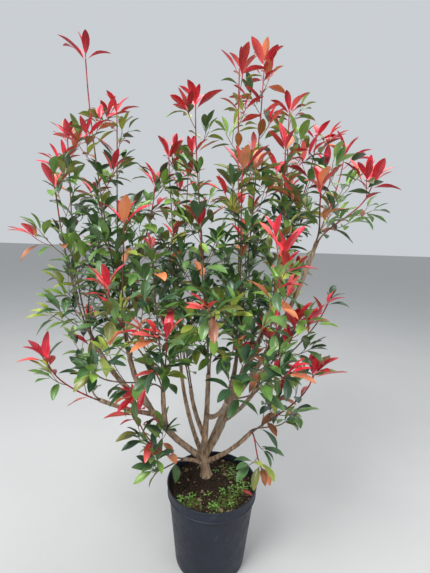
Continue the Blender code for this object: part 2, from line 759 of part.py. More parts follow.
def main():
    clear_scene()
    plastic = surface("pot plastic", (0.022, 0.028, 0.040), 0.45)
    earth = surface("potting soil", (0.045, 0.028, 0.018), 0.95)
    bark = surface("bark", (0.23, 0.14, 0.09), 0.80)
    leaf_colours = {
        "dark": surface("old leaves", (0.045, 0.120, 0.045), 0.40),
        "green": surface("green leaves", (0.080, 0.190, 0.050), 0.40),
        "olive": surface("ripening leaves", (0.220, 0.260, 0.045), 0.40),
        "red": surface("new leaves", (0.600, 0.030, 0.035), 0.35),
    }
    make_pot(plastic)
    make_soil(earth)
    limb_lines = make_limbs(bark)
    make_shoots(limb_lines, bark, leaf_colours)


main()
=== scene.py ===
# Potted red tip photinia: leaves, twigs, bark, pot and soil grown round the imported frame.
# Metres, +Z up, +X to the right and +Y away from the viewer; the origin is the pot's flat underside.

import math
from random import Random

import bpy
import numpy as np
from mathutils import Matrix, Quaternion, Vector


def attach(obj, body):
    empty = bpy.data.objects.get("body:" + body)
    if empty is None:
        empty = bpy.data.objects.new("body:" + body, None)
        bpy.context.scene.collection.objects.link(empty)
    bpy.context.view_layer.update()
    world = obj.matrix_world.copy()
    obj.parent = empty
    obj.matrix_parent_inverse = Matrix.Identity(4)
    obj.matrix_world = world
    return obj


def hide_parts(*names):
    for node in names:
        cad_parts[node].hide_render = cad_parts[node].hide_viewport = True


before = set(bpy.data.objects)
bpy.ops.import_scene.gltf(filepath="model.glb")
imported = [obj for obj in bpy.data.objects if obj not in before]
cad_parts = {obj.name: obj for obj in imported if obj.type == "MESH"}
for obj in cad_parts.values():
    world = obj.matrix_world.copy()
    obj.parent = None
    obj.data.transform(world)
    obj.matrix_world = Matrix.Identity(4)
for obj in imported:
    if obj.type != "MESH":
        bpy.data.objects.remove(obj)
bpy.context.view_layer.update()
foliageNodes = sorted(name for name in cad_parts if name.startswith("foliage_"))
limbNodes = ["trunk"] + sorted(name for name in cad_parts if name.startswith("stem_"))
fullTurn = 2 * math.pi
goldenAngle = math.radians(137.5)
upward = np.array([0.0, 0.0, 1.0])
print("foliage nodes:", len(foliageNodes), "limb nodes:", len(limbNodes))


# Shader maths

# One socket of a material; an expression on it adds the Math nodes
class Val:
    def __init__(self, finish, socket):
        self.finish, self.socket = finish, socket

    def __add__(self, other):
        return self.finish.maths("ADD", self, other)

    def __sub__(self, other):
        return self.finish.maths("SUBTRACT", self, other)

    def __rsub__(self, other):
        return self.finish.maths("SUBTRACT", other, self)

    def __mul__(self, other):
        return self.finish.maths("MULTIPLY", self, other)

    __radd__, __rmul__ = __add__, __mul__


# A Principled material and the nodes that feed it
class Finish:
    def __init__(self, name, **constants):
        self.material = bpy.data.materials.new(name)
        self.material.use_nodes = True
        self.tree = self.material.node_tree
        self.shader = self.tree.nodes["Principled BSDF"]
        for socket, value in constants.items():
            self.shader.inputs[socket.replace("_", " ")].default_value = value

    # Any node: its settings first, then a value or a link for each socket named
    def node(self, kind, settings=None, sockets=None, output=0):
        made = self.tree.nodes.new(kind)
        for key, value in (settings or {}).items():
            setattr(made, key, value)
        for key, value in (sockets or {}).items():
            if isinstance(value, Val):
                self.tree.links.new(value.socket, made.inputs[key])
            elif made.inputs[key].type == "RGBA":
                made.inputs[key].default_value = (*value, 1.0)
            else:
                made.inputs[key].default_value = value
        return Val(self, made.outputs[output])

    def maths(self, operation, *values):
        return self.node("ShaderNodeMath", {"operation": operation}, dict(enumerate(values)))

    def place(self, kind="Object"):
        return self.node("ShaderNodeTexCoord", output=kind)

    def noise(self, scale, detail=3.0, rough=0.55, vector=None):
        vector = vector or self.place()
        sockets = {"Vector": vector, "Scale": scale, "Detail": detail, "Roughness": rough}
        return self.node("ShaderNodeTexNoise", None, sockets)

    # Round cells: the distance to the nearest cell's middle
    def cells(self, scale, vector=None):
        return self.node("ShaderNodeTexVoronoi", None, {"Vector": vector or self.place(), "Scale": scale})

    def stretched(self, scale):
        return self.node("ShaderNodeMapping", None, {"Vector": self.place(), "Scale": scale})

    # The first two parts of a vector
    def parts(self, vector):
        made = self.node("ShaderNodeSeparateXYZ", None, {0: vector}).socket.node
        return Val(self, made.outputs[0]), Val(self, made.outputs[1])

    # 0 below low, 1 above high, smooth between them
    def step(self, value, low, high):
        sockets = {"Value": value, "From Min": low, "From Max": high}
        return self.node("ShaderNodeMapRange", {"interpolation_type": "SMOOTHSTEP"}, sockets)

    def mix(self, factor, first, second):
        sockets = {0: factor, 6: first, 7: second}
        return self.node("ShaderNodeMix", {"data_type": "RGBA"}, sockets, output=2)

    # The first colour where the value is below the edges, and the second above them
    def blend(self, value, edges, first, second):
        return self.mix(self.step(value, *edges), first, second)

    def feed(self, socket, value):
        self.tree.links.new(value.socket, self.shader.inputs[socket])

    def bump(self, height, distance, strength=1.0):
        sockets = {"Height": height, "Distance": distance, "Strength": strength}
        self.feed("Normal", self.node("ShaderNodeBump", None, sockets))


# Mesh tools

def unit(vectors):
    return vectors / np.maximum(np.linalg.norm(vectors, axis=-1, keepdims=True), 1e-12)


# Quads of a grid of rows by columns, its columns closed into a ring or not
def gridFaces(rows, columns, ring):
    across = columns if ring else columns - 1
    r, c = np.meshgrid(np.arange(rows - 1), np.arange(across), indexing="ij")
    n = (c + 1) % columns
    quads = np.stack([r * columns + c, r * columns + n, (r + 1) * columns + n, (r + 1) * columns + c], -1)
    return quads.reshape(-1, 4)


# Faces of a closed turned shape: its rings of quads, and one round face at each end
def ringFaces(rings, sides):
    last = (rings - 1) * sides
    ends = [list(range(sides - 1, -1, -1)), list(range(last, last + sides))]
    return gridFaces(rings, sides, True).tolist() + ends


# One piece from many (vertices, faces) parts of its kind; it rides on the only body
def joined(name, parts, finish, uv=None):
    vertices, faces, offset = [], [], 0
    for points, partFaces in parts:
        vertices.append(points)
        faces += [[corner + offset for corner in face] for face in partFaces]
        offset += len(points)
    mesh = bpy.data.meshes.new(name)
    mesh.from_pydata(np.concatenate(vertices).tolist(), [], faces)
    if uv is not None:
        corners = np.zeros(len(mesh.loops), np.int32)
        mesh.loops.foreach_get("vertex_index", corners)
        layer = mesh.uv_layers.new(name="leafPlace")
        layer.data.foreach_set("uv", uv[corners].astype(np.float32).ravel())
    mesh.materials.append(finish.material)
    mesh.shade_smooth()
    piece = bpy.data.objects.new(name, mesh)
    bpy.context.scene.collection.objects.link(piece)
    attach(piece, "root")
    return piece


# A tube round a line: each ring is the point plus the radius times a circle square to the line. The relief
# is a function of the place that is added to the radius.
def tubePart(points, radii, sides, relief=None):
    points, radii = np.asarray(points, float), np.asarray(radii, float)
    tangents = unit(np.gradient(points, axis=0))
    chord = unit(points[-1] - points[0])
    # A way from which the circle's turn is measured, never along the line
    reference = (0.31, 0.83, 0.05) if abs(chord[1]) < 0.7 else (0.9, 0.1, 0.05)
    side = unit(np.cross(tangents, reference))
    other = np.cross(tangents, side)
    turn = np.arange(sides) * fullTurn / sides
    circle = np.cos(turn)[None, :, None] * side[:, None] + np.sin(turn)[None, :, None] * other[:, None]
    size = radii[:, None] * np.ones(sides)
    if relief is not None:
        size = size + relief(points[:, None] + circle * radii[:, None, None])
    vertices = (points[:, None] + circle * size[..., None]).reshape(-1, 3)
    return vertices, ringFaces(len(points), sides)


# Every copy of one small shape: its points turned and stretched by each copy's axes and moved to its place
def copiesPart(points, faces, axes, places):
    vertices = np.einsum("pk,nkd->npd", points, axes) + places[:, None]
    every = faces[None] + (np.arange(len(places)) * len(points))[:, None, None]
    return vertices.reshape(-1, 3), every.reshape(-1, faces.shape[1]).tolist()


# A small closed lump: a ball of rows by columns, each pole a small ring closed by a fan of quads
def lump(rows, columns, rough=0.0, seed=1):
    rng = np.random.default_rng(seed)
    up = np.linspace(-0.48, 0.48, rows) * math.pi          # a little short of each pole
    turn = np.arange(columns) * fullTurn / columns
    ball = np.stack([np.outer(np.cos(up), np.cos(turn)), np.outer(np.cos(up), np.sin(turn)),
                     np.outer(np.sin(up), np.ones(columns))], -1)
    ball *= 1 + rough * rng.uniform(-1, 1, (rows, columns, 1))
    fan = np.array([[0, k, k + 1, k + 2] for k in range(1, columns - 1, 2)])
    quads = np.concatenate([gridFaces(rows, columns, True), fan[:, ::-1], fan + (rows - 1) * columns])
    return ball.reshape(-1, 3), quads


# Limb lines, as the source has them

trunk = {"foot": (-0.019, 0.041, 0.2203), "fork": (-0.031, 0.039, 0.302), "flareRadius": 0.0215,
         "footRadius": 0.0160, "forkRadius": 0.0130, "flareHeight": 0.022}

# parent, share along it, tip, bow, foot radius, tip radius
stemTable = {
    "stem_centre": ("trunk", 0.92, (-0.022, 0.012, 0.565), 0.03, 0.0105, 0.0065),
    "stem_left_leader": ("trunk", 0.70, (-0.266, -0.010, 0.660), 0.11, 0.0100, 0.0068),
    "stem_left_inner": ("stem_left_leader", 0.28, (-0.142, -0.105, 0.560), 0.12, 0.0075, 0.0062),
    "stem_left_outer": ("stem_left_leader", 0.55, (-0.350, -0.030, 0.655), 0.06, 0.0075, 0.0060),
    "stem_far_left": ("stem_left_leader", 0.48, (-0.325, -0.070, 0.512), 0.03, 0.0062, 0.0055),
    "stem_low_left": ("trunk", 0.45, (-0.092, 0.008, 0.292), -0.06, 0.0065, 0.0055),
    "stem_centre_left": ("stem_centre", 0.22, (-0.078, 0.060, 0.500), 0.06, 0.0070, 0.0060),
    "stem_right_centre": ("trunk", 0.78, (0.058, 0.020, 0.560), 0.07, 0.0095, 0.0066),
    "stem_right_arch": ("stem_right_centre", 0.64, (0.270, -0.040, 0.975), 0.04, 0.0075, 0.0060),
    "stem_right_second": ("stem_right_centre", 0.78, (0.190, 0.045, 0.900), 0.05, 0.0072, 0.0060),
    "stem_right_mid": ("stem_right_centre", 0.50, (0.120, -0.055, 0.560), 0.05, 0.0065, 0.0056),
    "stem_right_low": ("trunk", 0.55, (0.110, -0.030, 0.410), 0.05, 0.0070, 0.0058),
    "stem_front_right": ("stem_centre", 0.50, (0.030, -0.125, 0.545), 0.08, 0.0070, 0.0056),
    "stem_back_left": ("trunk", 0.62, (-0.120, 0.145, 0.545), 0.08, 0.0080, 0.0060),
    "stem_back_right": ("trunk", 0.86, (0.070, 0.150, 0.560), 0.08, 0.0080, 0.0060),
}

# stem, tip, reach, how much of it is this year's red
shootTable = {
    "left_top": ("stem_left_leader", (-0.375, -0.055, 1.415), 0.13, 1.0),
    "left_second": ("stem_left_leader", (-0.325, 0.060, 1.320), 0.14, 0.7),
    "left_inner_top": ("stem_left_leader", (-0.205, 0.050, 1.110), 0.15, 0.5),
    "left_front": ("stem_left_leader", (-0.240, -0.160, 0.990), 0.15, 0.3),
    "outer_top": ("stem_left_outer", (-0.460, 0.030, 1.225), 0.14, 0.9),
    "outer_side": ("stem_left_outer", (-0.435, -0.100, 1.080), 0.15, 0.4),
    "outer_back": ("stem_left_outer", (-0.400, 0.160, 1.060), 0.16, 0.2),
    "far_red": ("stem_far_left", (-0.450, -0.090, 0.600), 0.13, 1.0),
    "far_upper": ("stem_far_left", (-0.400, 0.060, 0.680), 0.15, 0.6),
    "inner_red": ("stem_left_inner", (-0.120, -0.220, 0.720), 0.14, 0.6),
    "inner_up": ("stem_left_inner", (-0.170, -0.135, 0.900), 0.14, 0.2),
    "front_left_top": ("stem_left_inner", (-0.240, -0.265, 0.840), 0.16, 0.5),
    "front_left_low": ("stem_left_inner", (-0.290, -0.200, 0.640), 0.15, 0.1),
    "low_left_red": ("stem_low_left", (-0.205, -0.100, 0.465), 0.12, 1.0),
    "low_rim": ("stem_low_left", (-0.165, -0.075, 0.315), 0.11, 0.2),
    "centre_top": ("stem_centre", (-0.085, 0.030, 1.330), 0.14, 1.0),
    "centre_front": ("stem_centre", (-0.050, -0.170, 0.990), 0.15, 0.4),
    "centre_low": ("stem_centre", (-0.010, -0.245, 0.810), 0.16, 0.0),
    "middle_top": ("stem_centre_left", (-0.170, 0.100, 1.210), 0.14, 0.5),
    "middle_left": ("stem_centre_left", (-0.150, -0.010, 0.960), 0.15, 0.0),
    "crown_top": ("stem_right_centre", (0.110, 0.030, 1.450), 0.13, 1.0),
    "crown_left": ("stem_right_centre", (0.035, -0.050, 1.395), 0.13, 1.0),
    "crown_front": ("stem_right_centre", (0.045, -0.170, 1.120), 0.15, 0.5),
    "crown_right": ("stem_right_second", (0.200, 0.080, 1.345), 0.14, 0.8),
    "second_front": ("stem_right_second", (0.165, -0.070, 1.200), 0.14, 0.5),
    "second_top": ("stem_right_second", (0.285, 0.080, 1.265), 0.14, 1.0),
    "second_back": ("stem_right_second", (0.235, 0.210, 1.140), 0.15, 0.3),
    "arch_top": ("stem_right_arch", (0.355, 0.030, 1.200), 0.13, 1.0),
    "arch_side": ("stem_right_arch", (0.405, -0.040, 1.110), 0.13, 1.0),
    "arch_front": ("stem_right_arch", (0.235, -0.170, 1.080), 0.15, 0.6),
    "right_red": ("stem_right_mid", (0.190, -0.150, 0.740), 0.15, 0.8),
    "right_far": ("stem_right_mid", (0.310, -0.030, 0.790), 0.11, 0.3),
    "right_up": ("stem_right_mid", (0.145, -0.120, 0.900), 0.14, 0.2),
    "low_right_red": ("stem_right_low", (0.255, -0.100, 0.590), 0.12, 0.9),
    "low_right": ("stem_right_low", (0.215, 0.010, 0.420), 0.12, 0.1),
    "low_right_droop": ("stem_right_low", (0.125, -0.095, 0.370), 0.11, 0.9),
    "back_left_top": ("stem_back_left", (-0.120, 0.225, 1.170), 0.16, 0.4),
    "back_left_side": ("stem_back_left", (-0.290, 0.210, 0.870), 0.16, 0.2),
    "back_right_top": ("stem_back_right", (0.100, 0.225, 1.210), 0.16, 0.4),
    "back_right_side": ("stem_back_right", (0.260, 0.210, 0.830), 0.16, 0.2),
    "front_right_top": ("stem_front_right", (0.135, -0.265, 0.930), 0.16, 0.4),
    "front_right_low": ("stem_front_right", (0.100, -0.255, 0.650), 0.15, 0.1),
}
limbRule = {
    "trunkRings": 40, "stemStep": 0.075, "leastStemParts": 3, "fineStep": 0.006, "shootStep": 0.012,
    "leastRings": 12, "leave": 0.75, "arrive": 0.9, "shootRise": 0.7, "shootTipRadius": 0.0016,
    "youngTip": 0.038, "youngTipRings": 4, "youngTipGap": 1e-4,
    # By how many shoots stand on one stem tip: how far out their feet are and how thick, in its radii
    "slotOffset": {1: 0.0, 2: 0.50, 3: 0.55, 4: 0.62},
    "slotRadius": {1: 0.60, 2: 0.42, 3: 0.42, 4: 0.36},
}


# The point and the radius part of the way along a line, its points evenly shared
def along(line, share):
    places = np.linspace(0, 1, len(line["points"]))
    point = np.array([np.interp(share, places, line["points"][:, k]) for k in range(3)])
    return point, float(np.interp(share, places, line["radii"]))


def lengthOf(line):
    return float(np.linalg.norm(np.diff(line["points"], axis=0), axis=1).sum())


# The trunk thins evenly from its foot to the fork, and near the soil a flare dies away as a square
def trunkLine():
    foot, fork = np.array(trunk["foot"]), np.array(trunk["fork"])
    share = np.linspace(0, 1, limbRule["trunkRings"])
    height = share * np.linalg.norm(fork - foot)
    radii = trunk["footRadius"] + (trunk["forkRadius"] - trunk["footRadius"]) * share
    flare = np.clip(1 - height / trunk["flareHeight"], 0, 1) ** 2
    radii += (trunk["flareRadius"] - trunk["footRadius"]) * flare
    return {"points": foot + share[:, None] * (fork - foot), "radii": radii}


# A stem is a parabola from its foot to its tip, its middle pushed out and down by the bow. Other stems leave
# from its coarse line, which is the source's.
def stemLine(row, parent):
    share, tip, bow, footRadius, tipRadius = row[1:]
    foot = along(parent.get("coarse", parent), share)[0]
    tip = np.array(tip)
    chord = tip - foot
    length = np.linalg.norm(chord)
    direction = chord / length
    outward = unit(direction * direction[2] - upward)
    middle = foot + chord * 0.5 + outward * (2 * bow * length)

    def curve(count):
        t = np.linspace(0, 1, count)[:, None]
        points = foot * (1 - t) ** 2 + middle * (2 * t * (1 - t)) + tip * t ** 2
        return {"points": points, "radii": footRadius + (tipRadius - footRadius) * t[:, 0]}

    line = curve(max(limbRule["leastRings"], round(length / limbRule["fineStep"])))
    line["coarse"] = curve(max(limbRule["leastStemParts"], round(length / limbRule["stemStep"])) + 1)
    line["tipWay"] = unit(line["coarse"]["points"][-1] - line["coarse"]["points"][-2])
    return line


# The shoots on one stem tip stand round its end in the order of the directions that they go
def slotsOnTip(members, line):
    if len(members) == 1:
        return {members[0]: np.zeros(3)}
    side = np.array(Vector(line["tipWay"]).orthogonal().normalized())
    other = np.cross(line["tipWay"], side)
    ways = {name: np.array(shootTable[name][1]) - line["points"][-1] for name in members}
    bearings = sorted((math.atan2(way @ other, way @ side), name) for name, way in ways.items())
    step = fullTurn / len(members)
    turns = [bearing - step * k for k, (bearing, _) in enumerate(bearings)]
    start = math.atan2(sum(math.sin(t) for t in turns), sum(math.cos(t) for t in turns))
    places = [start + step * k for k in range(len(members))]
    return {name: side * math.cos(t) + other * math.sin(t) for t, (_, name) in zip(places, bearings)}


# A shoot is a Hermite curve: it leaves the stem's tip in the stem's direction and ends turned upward. A red
# one is longer than the source's by its young tip.
def shootLine(name, line, slotWay, together):
    tip, youngRed = np.array(shootTable[name][1]), shootTable[name][3]
    tipRadius = line["radii"][-1]
    foot = line["points"][-1] + slotWay * (limbRule["slotOffset"][together] * tipRadius)
    chord = tip - foot
    length = np.linalg.norm(chord)
    leave = line["tipWay"] * (limbRule["leave"] * length)
    rise = limbRule["shootRise"] * max(chord[2] / length + limbRule["shootRise"], 0.0)
    arrive = unit(chord / length + upward * rise) * (limbRule["arrive"] * length)
    t = np.linspace(0, 1, max(limbRule["leastRings"], round(length / limbRule["shootStep"])))[:, None]
    points = (foot * (2 * t ** 3 - 3 * t ** 2 + 1) + leave * (t ** 3 - 2 * t ** 2 + t)
              + tip * (3 * t ** 2 - 2 * t ** 3) + arrive * (t ** 3 - t ** 2))
    grown = np.linspace(0, limbRule["youngTip"] * youngRed, limbRule["youngTipRings"])[1:, None]
    points = np.concatenate([points, tip + unit(arrive) * (grown + limbRule["youngTipGap"])])
    footRadius = limbRule["slotRadius"][together] * tipRadius
    share = np.linspace(0, 1, len(points))
    return {"points": points, "radii": footRadius + (limbRule["shootTipRadius"] - footRadius) * share}


limbLines = {"trunk": trunkLine()}
for stemName, row in stemTable.items():
    limbLines[stemName] = stemLine(row, limbLines[row[0]])
shootLines = {}
for stemName in stemTable:
    members = [name for name, row in shootTable.items() if row[0] == stemName]
    slotWays = slotsOnTip(members, limbLines[stemName])
    for name in members:
        shootLines[name] = shootLine(name, limbLines[stemName], slotWays[name], len(members))
print("limb lines:", len(limbLines), "shoot lines:", len(shootLines))


# Growth: the source's rule, carried to finer twigs and to leaves of true size. A pair of a start and a rise
# gives a value that rises evenly, and a pair of two sizes gives the ends of a random range.
growth = {
    "seed": 7, "tries": 3,
    # Space: gaps to the limbs, the next leaf and the pot, and how far a leaf may hang beside the pot
    "limbClear": 0.003, "leafApart": 0.015, "potClear": 0.004, "hangBelow": 0.03,
    # Twigs on a shoot
    "twigSpacing": 0.072, "twigFirst": 0.06, "twigLast": 0.95, "twigAngle": math.radians(46),
    "twigShare": 0.66, "twigTaper": 0.50, "twigSizes": (0.8, 1.15), "twigRise": 0.35, "twigRings": 7,
    "twigFootRadius": 0.60, "twigTipRadius": 0.0009, "greenTwigFrom": 0.5, "redTwigBase": 0.02,
    "redTwigFrom": 0.46, "redTwigByPlace": 1.8, "redTwigAbove": 0.95, "redTwigByHeight": 0.22,
    # The finer twig on a long one
    "finerFrom": 0.055, "finerPlace": 0.5, "finerShare": 0.55, "finerAngle": math.radians(42),
    "finerRadius": 0.7, "finerRed": 0.8,
    # Single leaves
    "leafLength": 0.067, "leafAngle": math.radians(56), "leafCurl": (0.3, 1.1), "leafLift": (-0.12, 0.30),
    "leafLean": 0.45, "leafHalfWidth": 0.2, "leafMiddle": 0.55, "leafDrop": 0.35,
    "shootLeafSpacing": 0.033, "shootLeafShare": 0.90, "shootLeafFirst": 0.08, "shootLeafSpan": 0.88,
    "shootLeafSizes": (0.85, 1.18), "endLength": 0.05, "endLeaf": 0.85, "innerLeaf": 1.05,
    "twigLeafSpacing": 0.021, "twigLeafShare": 0.6, "twigLeafFirst": 0.35, "twigLeafSpan": 0.55,
    "twigLeafSizes": (0.8, 1.1), "turningOnTwig": 0.6, "sameOnTwig": 0.7,
    # Rosettes at the tips: their number of leaves, how they open and how large they are
    "redHead": 4, "redHeadRise": 2, "greenHead": 5, "redTwigHead": 4, "greenTwigHead": 3,
    "headAngle": math.radians(25), "headOpening": (0.45, 0.30), "widestAngle": math.radians(62),
    "headStep": 0.0035, "headSizes": (0.85, 1.15), "headGrowing": (0.82, 0.07), "headGrown": 4,
    "headCurl": (0.15, 0.9), "headLift": 4 / 3, "largeHead": 1.18, "smallHead": 0.86, "smallReach": 0.115,
    "twigHead": 0.98,
    # This year's growth, by how red the shoot is, and the bare leader
    "redFrom": 0.3, "youngLength": (0.05, 0.13), "turningLength": (0.05, 0.06), "oldShare": 0.2,
    "turningChance": (0.35, 0.5), "youngBare": 0.5, "youngThicker": 1.02, "turningBelow": 0.42,
    "leader": "left_top", "leaderBare": 0.15,
    # Heights at which the greens go from the low crown's to the high crown's; young places count as higher
    "ripeFrom": 0.55, "ripeOver": 0.75, "headRipe": 0.3, "twigRipe": 0.25,
}
potShape = {
    "height": 0.239, "rimRadius": 0.137, "baseRadius": 0.105, "wall": 0.0022, "floor": 0.003,
    "chamfer": 0.004, "collarFoot": 0.207, "collarStep": 0.0045, "collarSlope": 0.002,
    "collarInset": 0.0025, "collarFlare": 0.02, "lipHeight": 0.004, "lipDepth": 0.0045, "lipEdge": 0.0012,
    "bead": 0.0014, "small": 0.0002, "hub": 0.004, "segments": 160,
    "drainHoles": 6, "drainRadius": 0.006, "drainRing": 0.075, "drainSides": 20,
    "sharpFrom": math.radians(38),
}
limbPoints = np.concatenate([line["points"] for line in limbLines.values()])
limbRadii = np.concatenate([line["radii"] for line in limbLines.values()])
plant = {"leaves": [], "leafMiddles": np.zeros((0, 3)), "wood": [], "green": [], "red": []}


# Whether points are within the shoot's reach of its line, clear of the limbs, and clear of the pot
def inSpace(name, places):
    own = shootLines[name]["points"]
    if np.linalg.norm(places[:, None] - own[None], axis=2).min(1).max() > shootTable[name][2]:
        return False
    clear = np.linalg.norm(places[:, None] - limbPoints[None], axis=2) - limbRadii
    if clear.min() < growth["limbClear"]:
        return False
    low = places[:, 2] < potShape["height"] + growth["potClear"]
    inside = np.hypot(places[:, 0], places[:, 1]) < potShape["rimRadius"] + growth["potClear"]
    sunk = places[:, 2] < potShape["height"] - growth["hangBelow"]
    return not (low & (inside | sunk)).any()


def rising(key, amount):
    start, rise = growth[key]
    return start + rise * amount


# A level way square to a direction; a direction steeper than the limit gets the X axis
def levelSide(direction, limit):
    side = np.cross(direction, upward)
    return unit(side) if np.linalg.norm(side) > limit else np.array([1.0, 0.0, 0.0])


# A line's direction at a place, and two ways square to it
def frameAt(line, share):
    tangent = unit(along(line, min(share + 0.02, 1))[0] - along(line, max(share - 0.02, 0))[0])
    side = levelSide(tangent, 1e-3)
    return tangent, side, np.cross(side, tangent)


# The direction that leaves a line at an angle, turned round it
def around(line, share, turn, angle):
    tangent, side, other = frameAt(line, share)
    return tangent * math.cos(angle) + (side * math.cos(turn) + other * math.sin(turn)) * math.sin(angle)


# A twig goes straight out and rises with the square of the distance
def twigLine(root, direction, reach, footRadius):
    t = np.linspace(0, 1, growth["twigRings"])[:, None]
    points = root + direction * (reach * t) + upward * (growth["twigRise"] * reach * t ** 2)
    return {"points": points, "radii": footRadius + (growth["twigTipRadius"] - footRadius) * t[:, 0]}


# Families of leaves: a green one's share low in the crown and how much it gains towards the top
greenShares = {
    "darkGreen": (0.28, -0.18), "deepGreen": (0.30, -0.10), "midGreen": (0.25, 0.02),
    "freshGreen": (0.11, 0.11), "yellowGreen": (0.04, 0.09), "olive": (0.02, 0.06),
}
youngShares = {"red": 0.46, "crimson": 0.22, "coral": 0.24, "orange": 0.08}
turningShares = {"orange": 0.22, "bronze": 0.22, "yellowGreen": 0.30, "olive": 0.16, "coral": 0.10}


def greenFamily(height, rng):
    ripe = min(max((height - growth["ripeFrom"]) / growth["ripeOver"], 0.0), 1.0)
    return rng.choices(list(greenShares), [low + gain * ripe for low, gain in greenShares.values()])[0]


def youngFamily(rng):
    return rng.choices(list(youngShares), list(youngShares.values()))[0]


def turningFamily(rng):
    return rng.choices(list(turningShares), list(turningShares.values()))[0]


# One leaf, tried at a few turns round its carrier until its middle and tip keep to the space. Its row holds
# the root, direction, normal, length, curl and family.
def growLeaf(name, line, share, turn, angle, length, family, rng, curl, lift=1.0):
    root = along(line, share)[0]
    for attempt in range(growth["tries"]):
        direction = around(line, share, turn + attempt * goldenAngle, angle)
        direction = unit(direction + upward * rng.uniform(*growth["leafLift"]) * lift)
        side = levelSide(direction, 0.05)
        lean = rng.uniform(-growth["leafLean"], growth["leafLean"])
        normal = unit(np.cross(side, direction) + side * lean)
        across = unit(np.cross(direction, normal)) * (growth["leafHalfWidth"] * length)
        middle = root + direction * (growth["leafMiddle"] * length)
        tip = root + direction * length - normal * (growth["leafDrop"] * curl * length)
        if not inSpace(name, np.stack([middle - across, middle + across, tip])):
            continue
        others = np.linalg.norm(plant["leafMiddles"] - middle, axis=1)
        if others.min(initial=math.inf) < growth["leafApart"]:
            continue
        plant["leafMiddles"] = np.vstack([plant["leafMiddles"], middle])
        plant["leaves"].append((root, direction, normal, length, curl, family))
        return


# A rosette: leaves in a whorl at a tip, each a golden angle on, the outer ones lower and more open
def growRosette(name, line, count, pickFamily, scale, rng):
    turn, length = rng.uniform(0, fullTurn), lengthOf(line)
    for k in range(count):
        turn += goldenAngle
        share = 1 - growth["headStep"] * k / length
        angle = min(growth["headAngle"] * rising("headOpening", k), growth["widestAngle"])
        grown = rising("headGrowing", min(k, growth["headGrown"]))
        size = growth["leafLength"] * scale * rng.uniform(*growth["headSizes"]) * grown
        family = pickFamily(rng)
        curl = rng.uniform(*growth["headCurl"])
        growLeaf(name, line, share, turn, angle, size, family, rng, curl, growth["headLift"])


# The single leaves of a shoot: young ones near a red tip, then turning ones, then green ones
def growShootLeaves(name, line, rng, isRed, pickYoung, bare):
    youngRed, length = shootTable[name][3], lengthOf(line)
    youngLength = rising("youngLength", youngRed)
    turningLength = youngLength + rising("turningLength", youngRed)
    turn = rng.uniform(0, fullTurn)
    count = round(length * growth["shootLeafShare"] / growth["shootLeafSpacing"])
    for k in range(count):
        turn += goldenAngle
        share = growth["shootLeafFirst"] + growth["shootLeafSpan"] * (k + 0.5) / count
        down = (1 - share) * length
        if down < youngLength and isRed:
            if rng.random() < growth["youngBare"] or down < bare:
                continue
            family = pickYoung(rng)
        elif down < turningLength and rng.random() < rising("turningChance", youngRed):
            family = turningFamily(rng)
        else:
            family = greenFamily(along(line, share)[0][2], rng)
        size = growth["leafLength"] * rng.uniform(*growth["shootLeafSizes"])
        size *= growth["innerLeaf" if down > growth["endLength"] else "endLeaf"]
        curl = rng.uniform(*growth["leafCurl"])
        growLeaf(name, line, share, turn, growth["leafAngle"], size, family, rng, curl)


# The twigs of a shoot, a golden angle apart, each tried at a few turns until its outer half is in the space
def growShootTwigs(name, line, rng, bare):
    reach, youngRed = shootTable[name][2:]
    length = lengthOf(line)
    turn = rng.uniform(0, fullTurn)
    count = max(1, round(length * (1 - growth["twigFirst"]) / growth["twigSpacing"]))
    for k in range(count):
        share = growth["twigFirst"] + (growth["twigLast"] - growth["twigFirst"]) * (k + 0.5) / count
        turn += goldenAngle
        if (1 - share) * length < bare:
            continue
        root, radius = along(line, share)
        size = rng.uniform(*growth["twigSizes"])
        span = reach * growth["twigShare"] * (1 - growth["twigTaper"] * share) * size
        for attempt in range(growth["tries"]):
            direction = around(line, share, turn + attempt * goldenAngle, growth["twigAngle"])
            twig = twigLine(root, direction, span, growth["twigFootRadius"] * radius)
            if inSpace(name, twig["points"][3:]):
                growTwig(name, twig, share, youngRed, rng, True)
                break


def growShoot(index, name):
    tip, reach, youngRed = shootTable[name][1:]
    line = shootLines[name]
    rng = Random(growth["seed"] + index)
    isRed = youngRed >= growth["redFrom"]
    splitShare = max(1 - rising("youngLength", youngRed) / lengthOf(line), growth["oldShare"])
    cut = max(2, round(splitShare * len(line["points"])))
    plant["wood"].append((line["points"][:cut + 1], line["radii"][:cut + 1]))
    young = line["points"][cut - 1:], line["radii"][cut - 1:] * growth["youngThicker"]
    plant["red" if isRed else "green"].append(young)

    pickYoung = turningFamily if tip[2] < growth["turningBelow"] else youngFamily
    bare = growth["leaderBare"] if name == growth["leader"] else 0.0
    if isRed:
        count = growth["redHead"] + round(growth["redHeadRise"] * youngRed)
        scale = growth["smallHead" if reach < growth["smallReach"] else "largeHead"]
        growRosette(name, line, count, pickYoung, scale, rng)
    else:
        ripeHeight = tip[2] + growth["headRipe"]
        growRosette(name, line, growth["greenHead"], lambda draw: greenFamily(ripeHeight, draw), 1.0, rng)
    growShootLeaves(name, line, rng, isRed, pickYoung, bare)
    growShootTwigs(name, line, rng, bare)


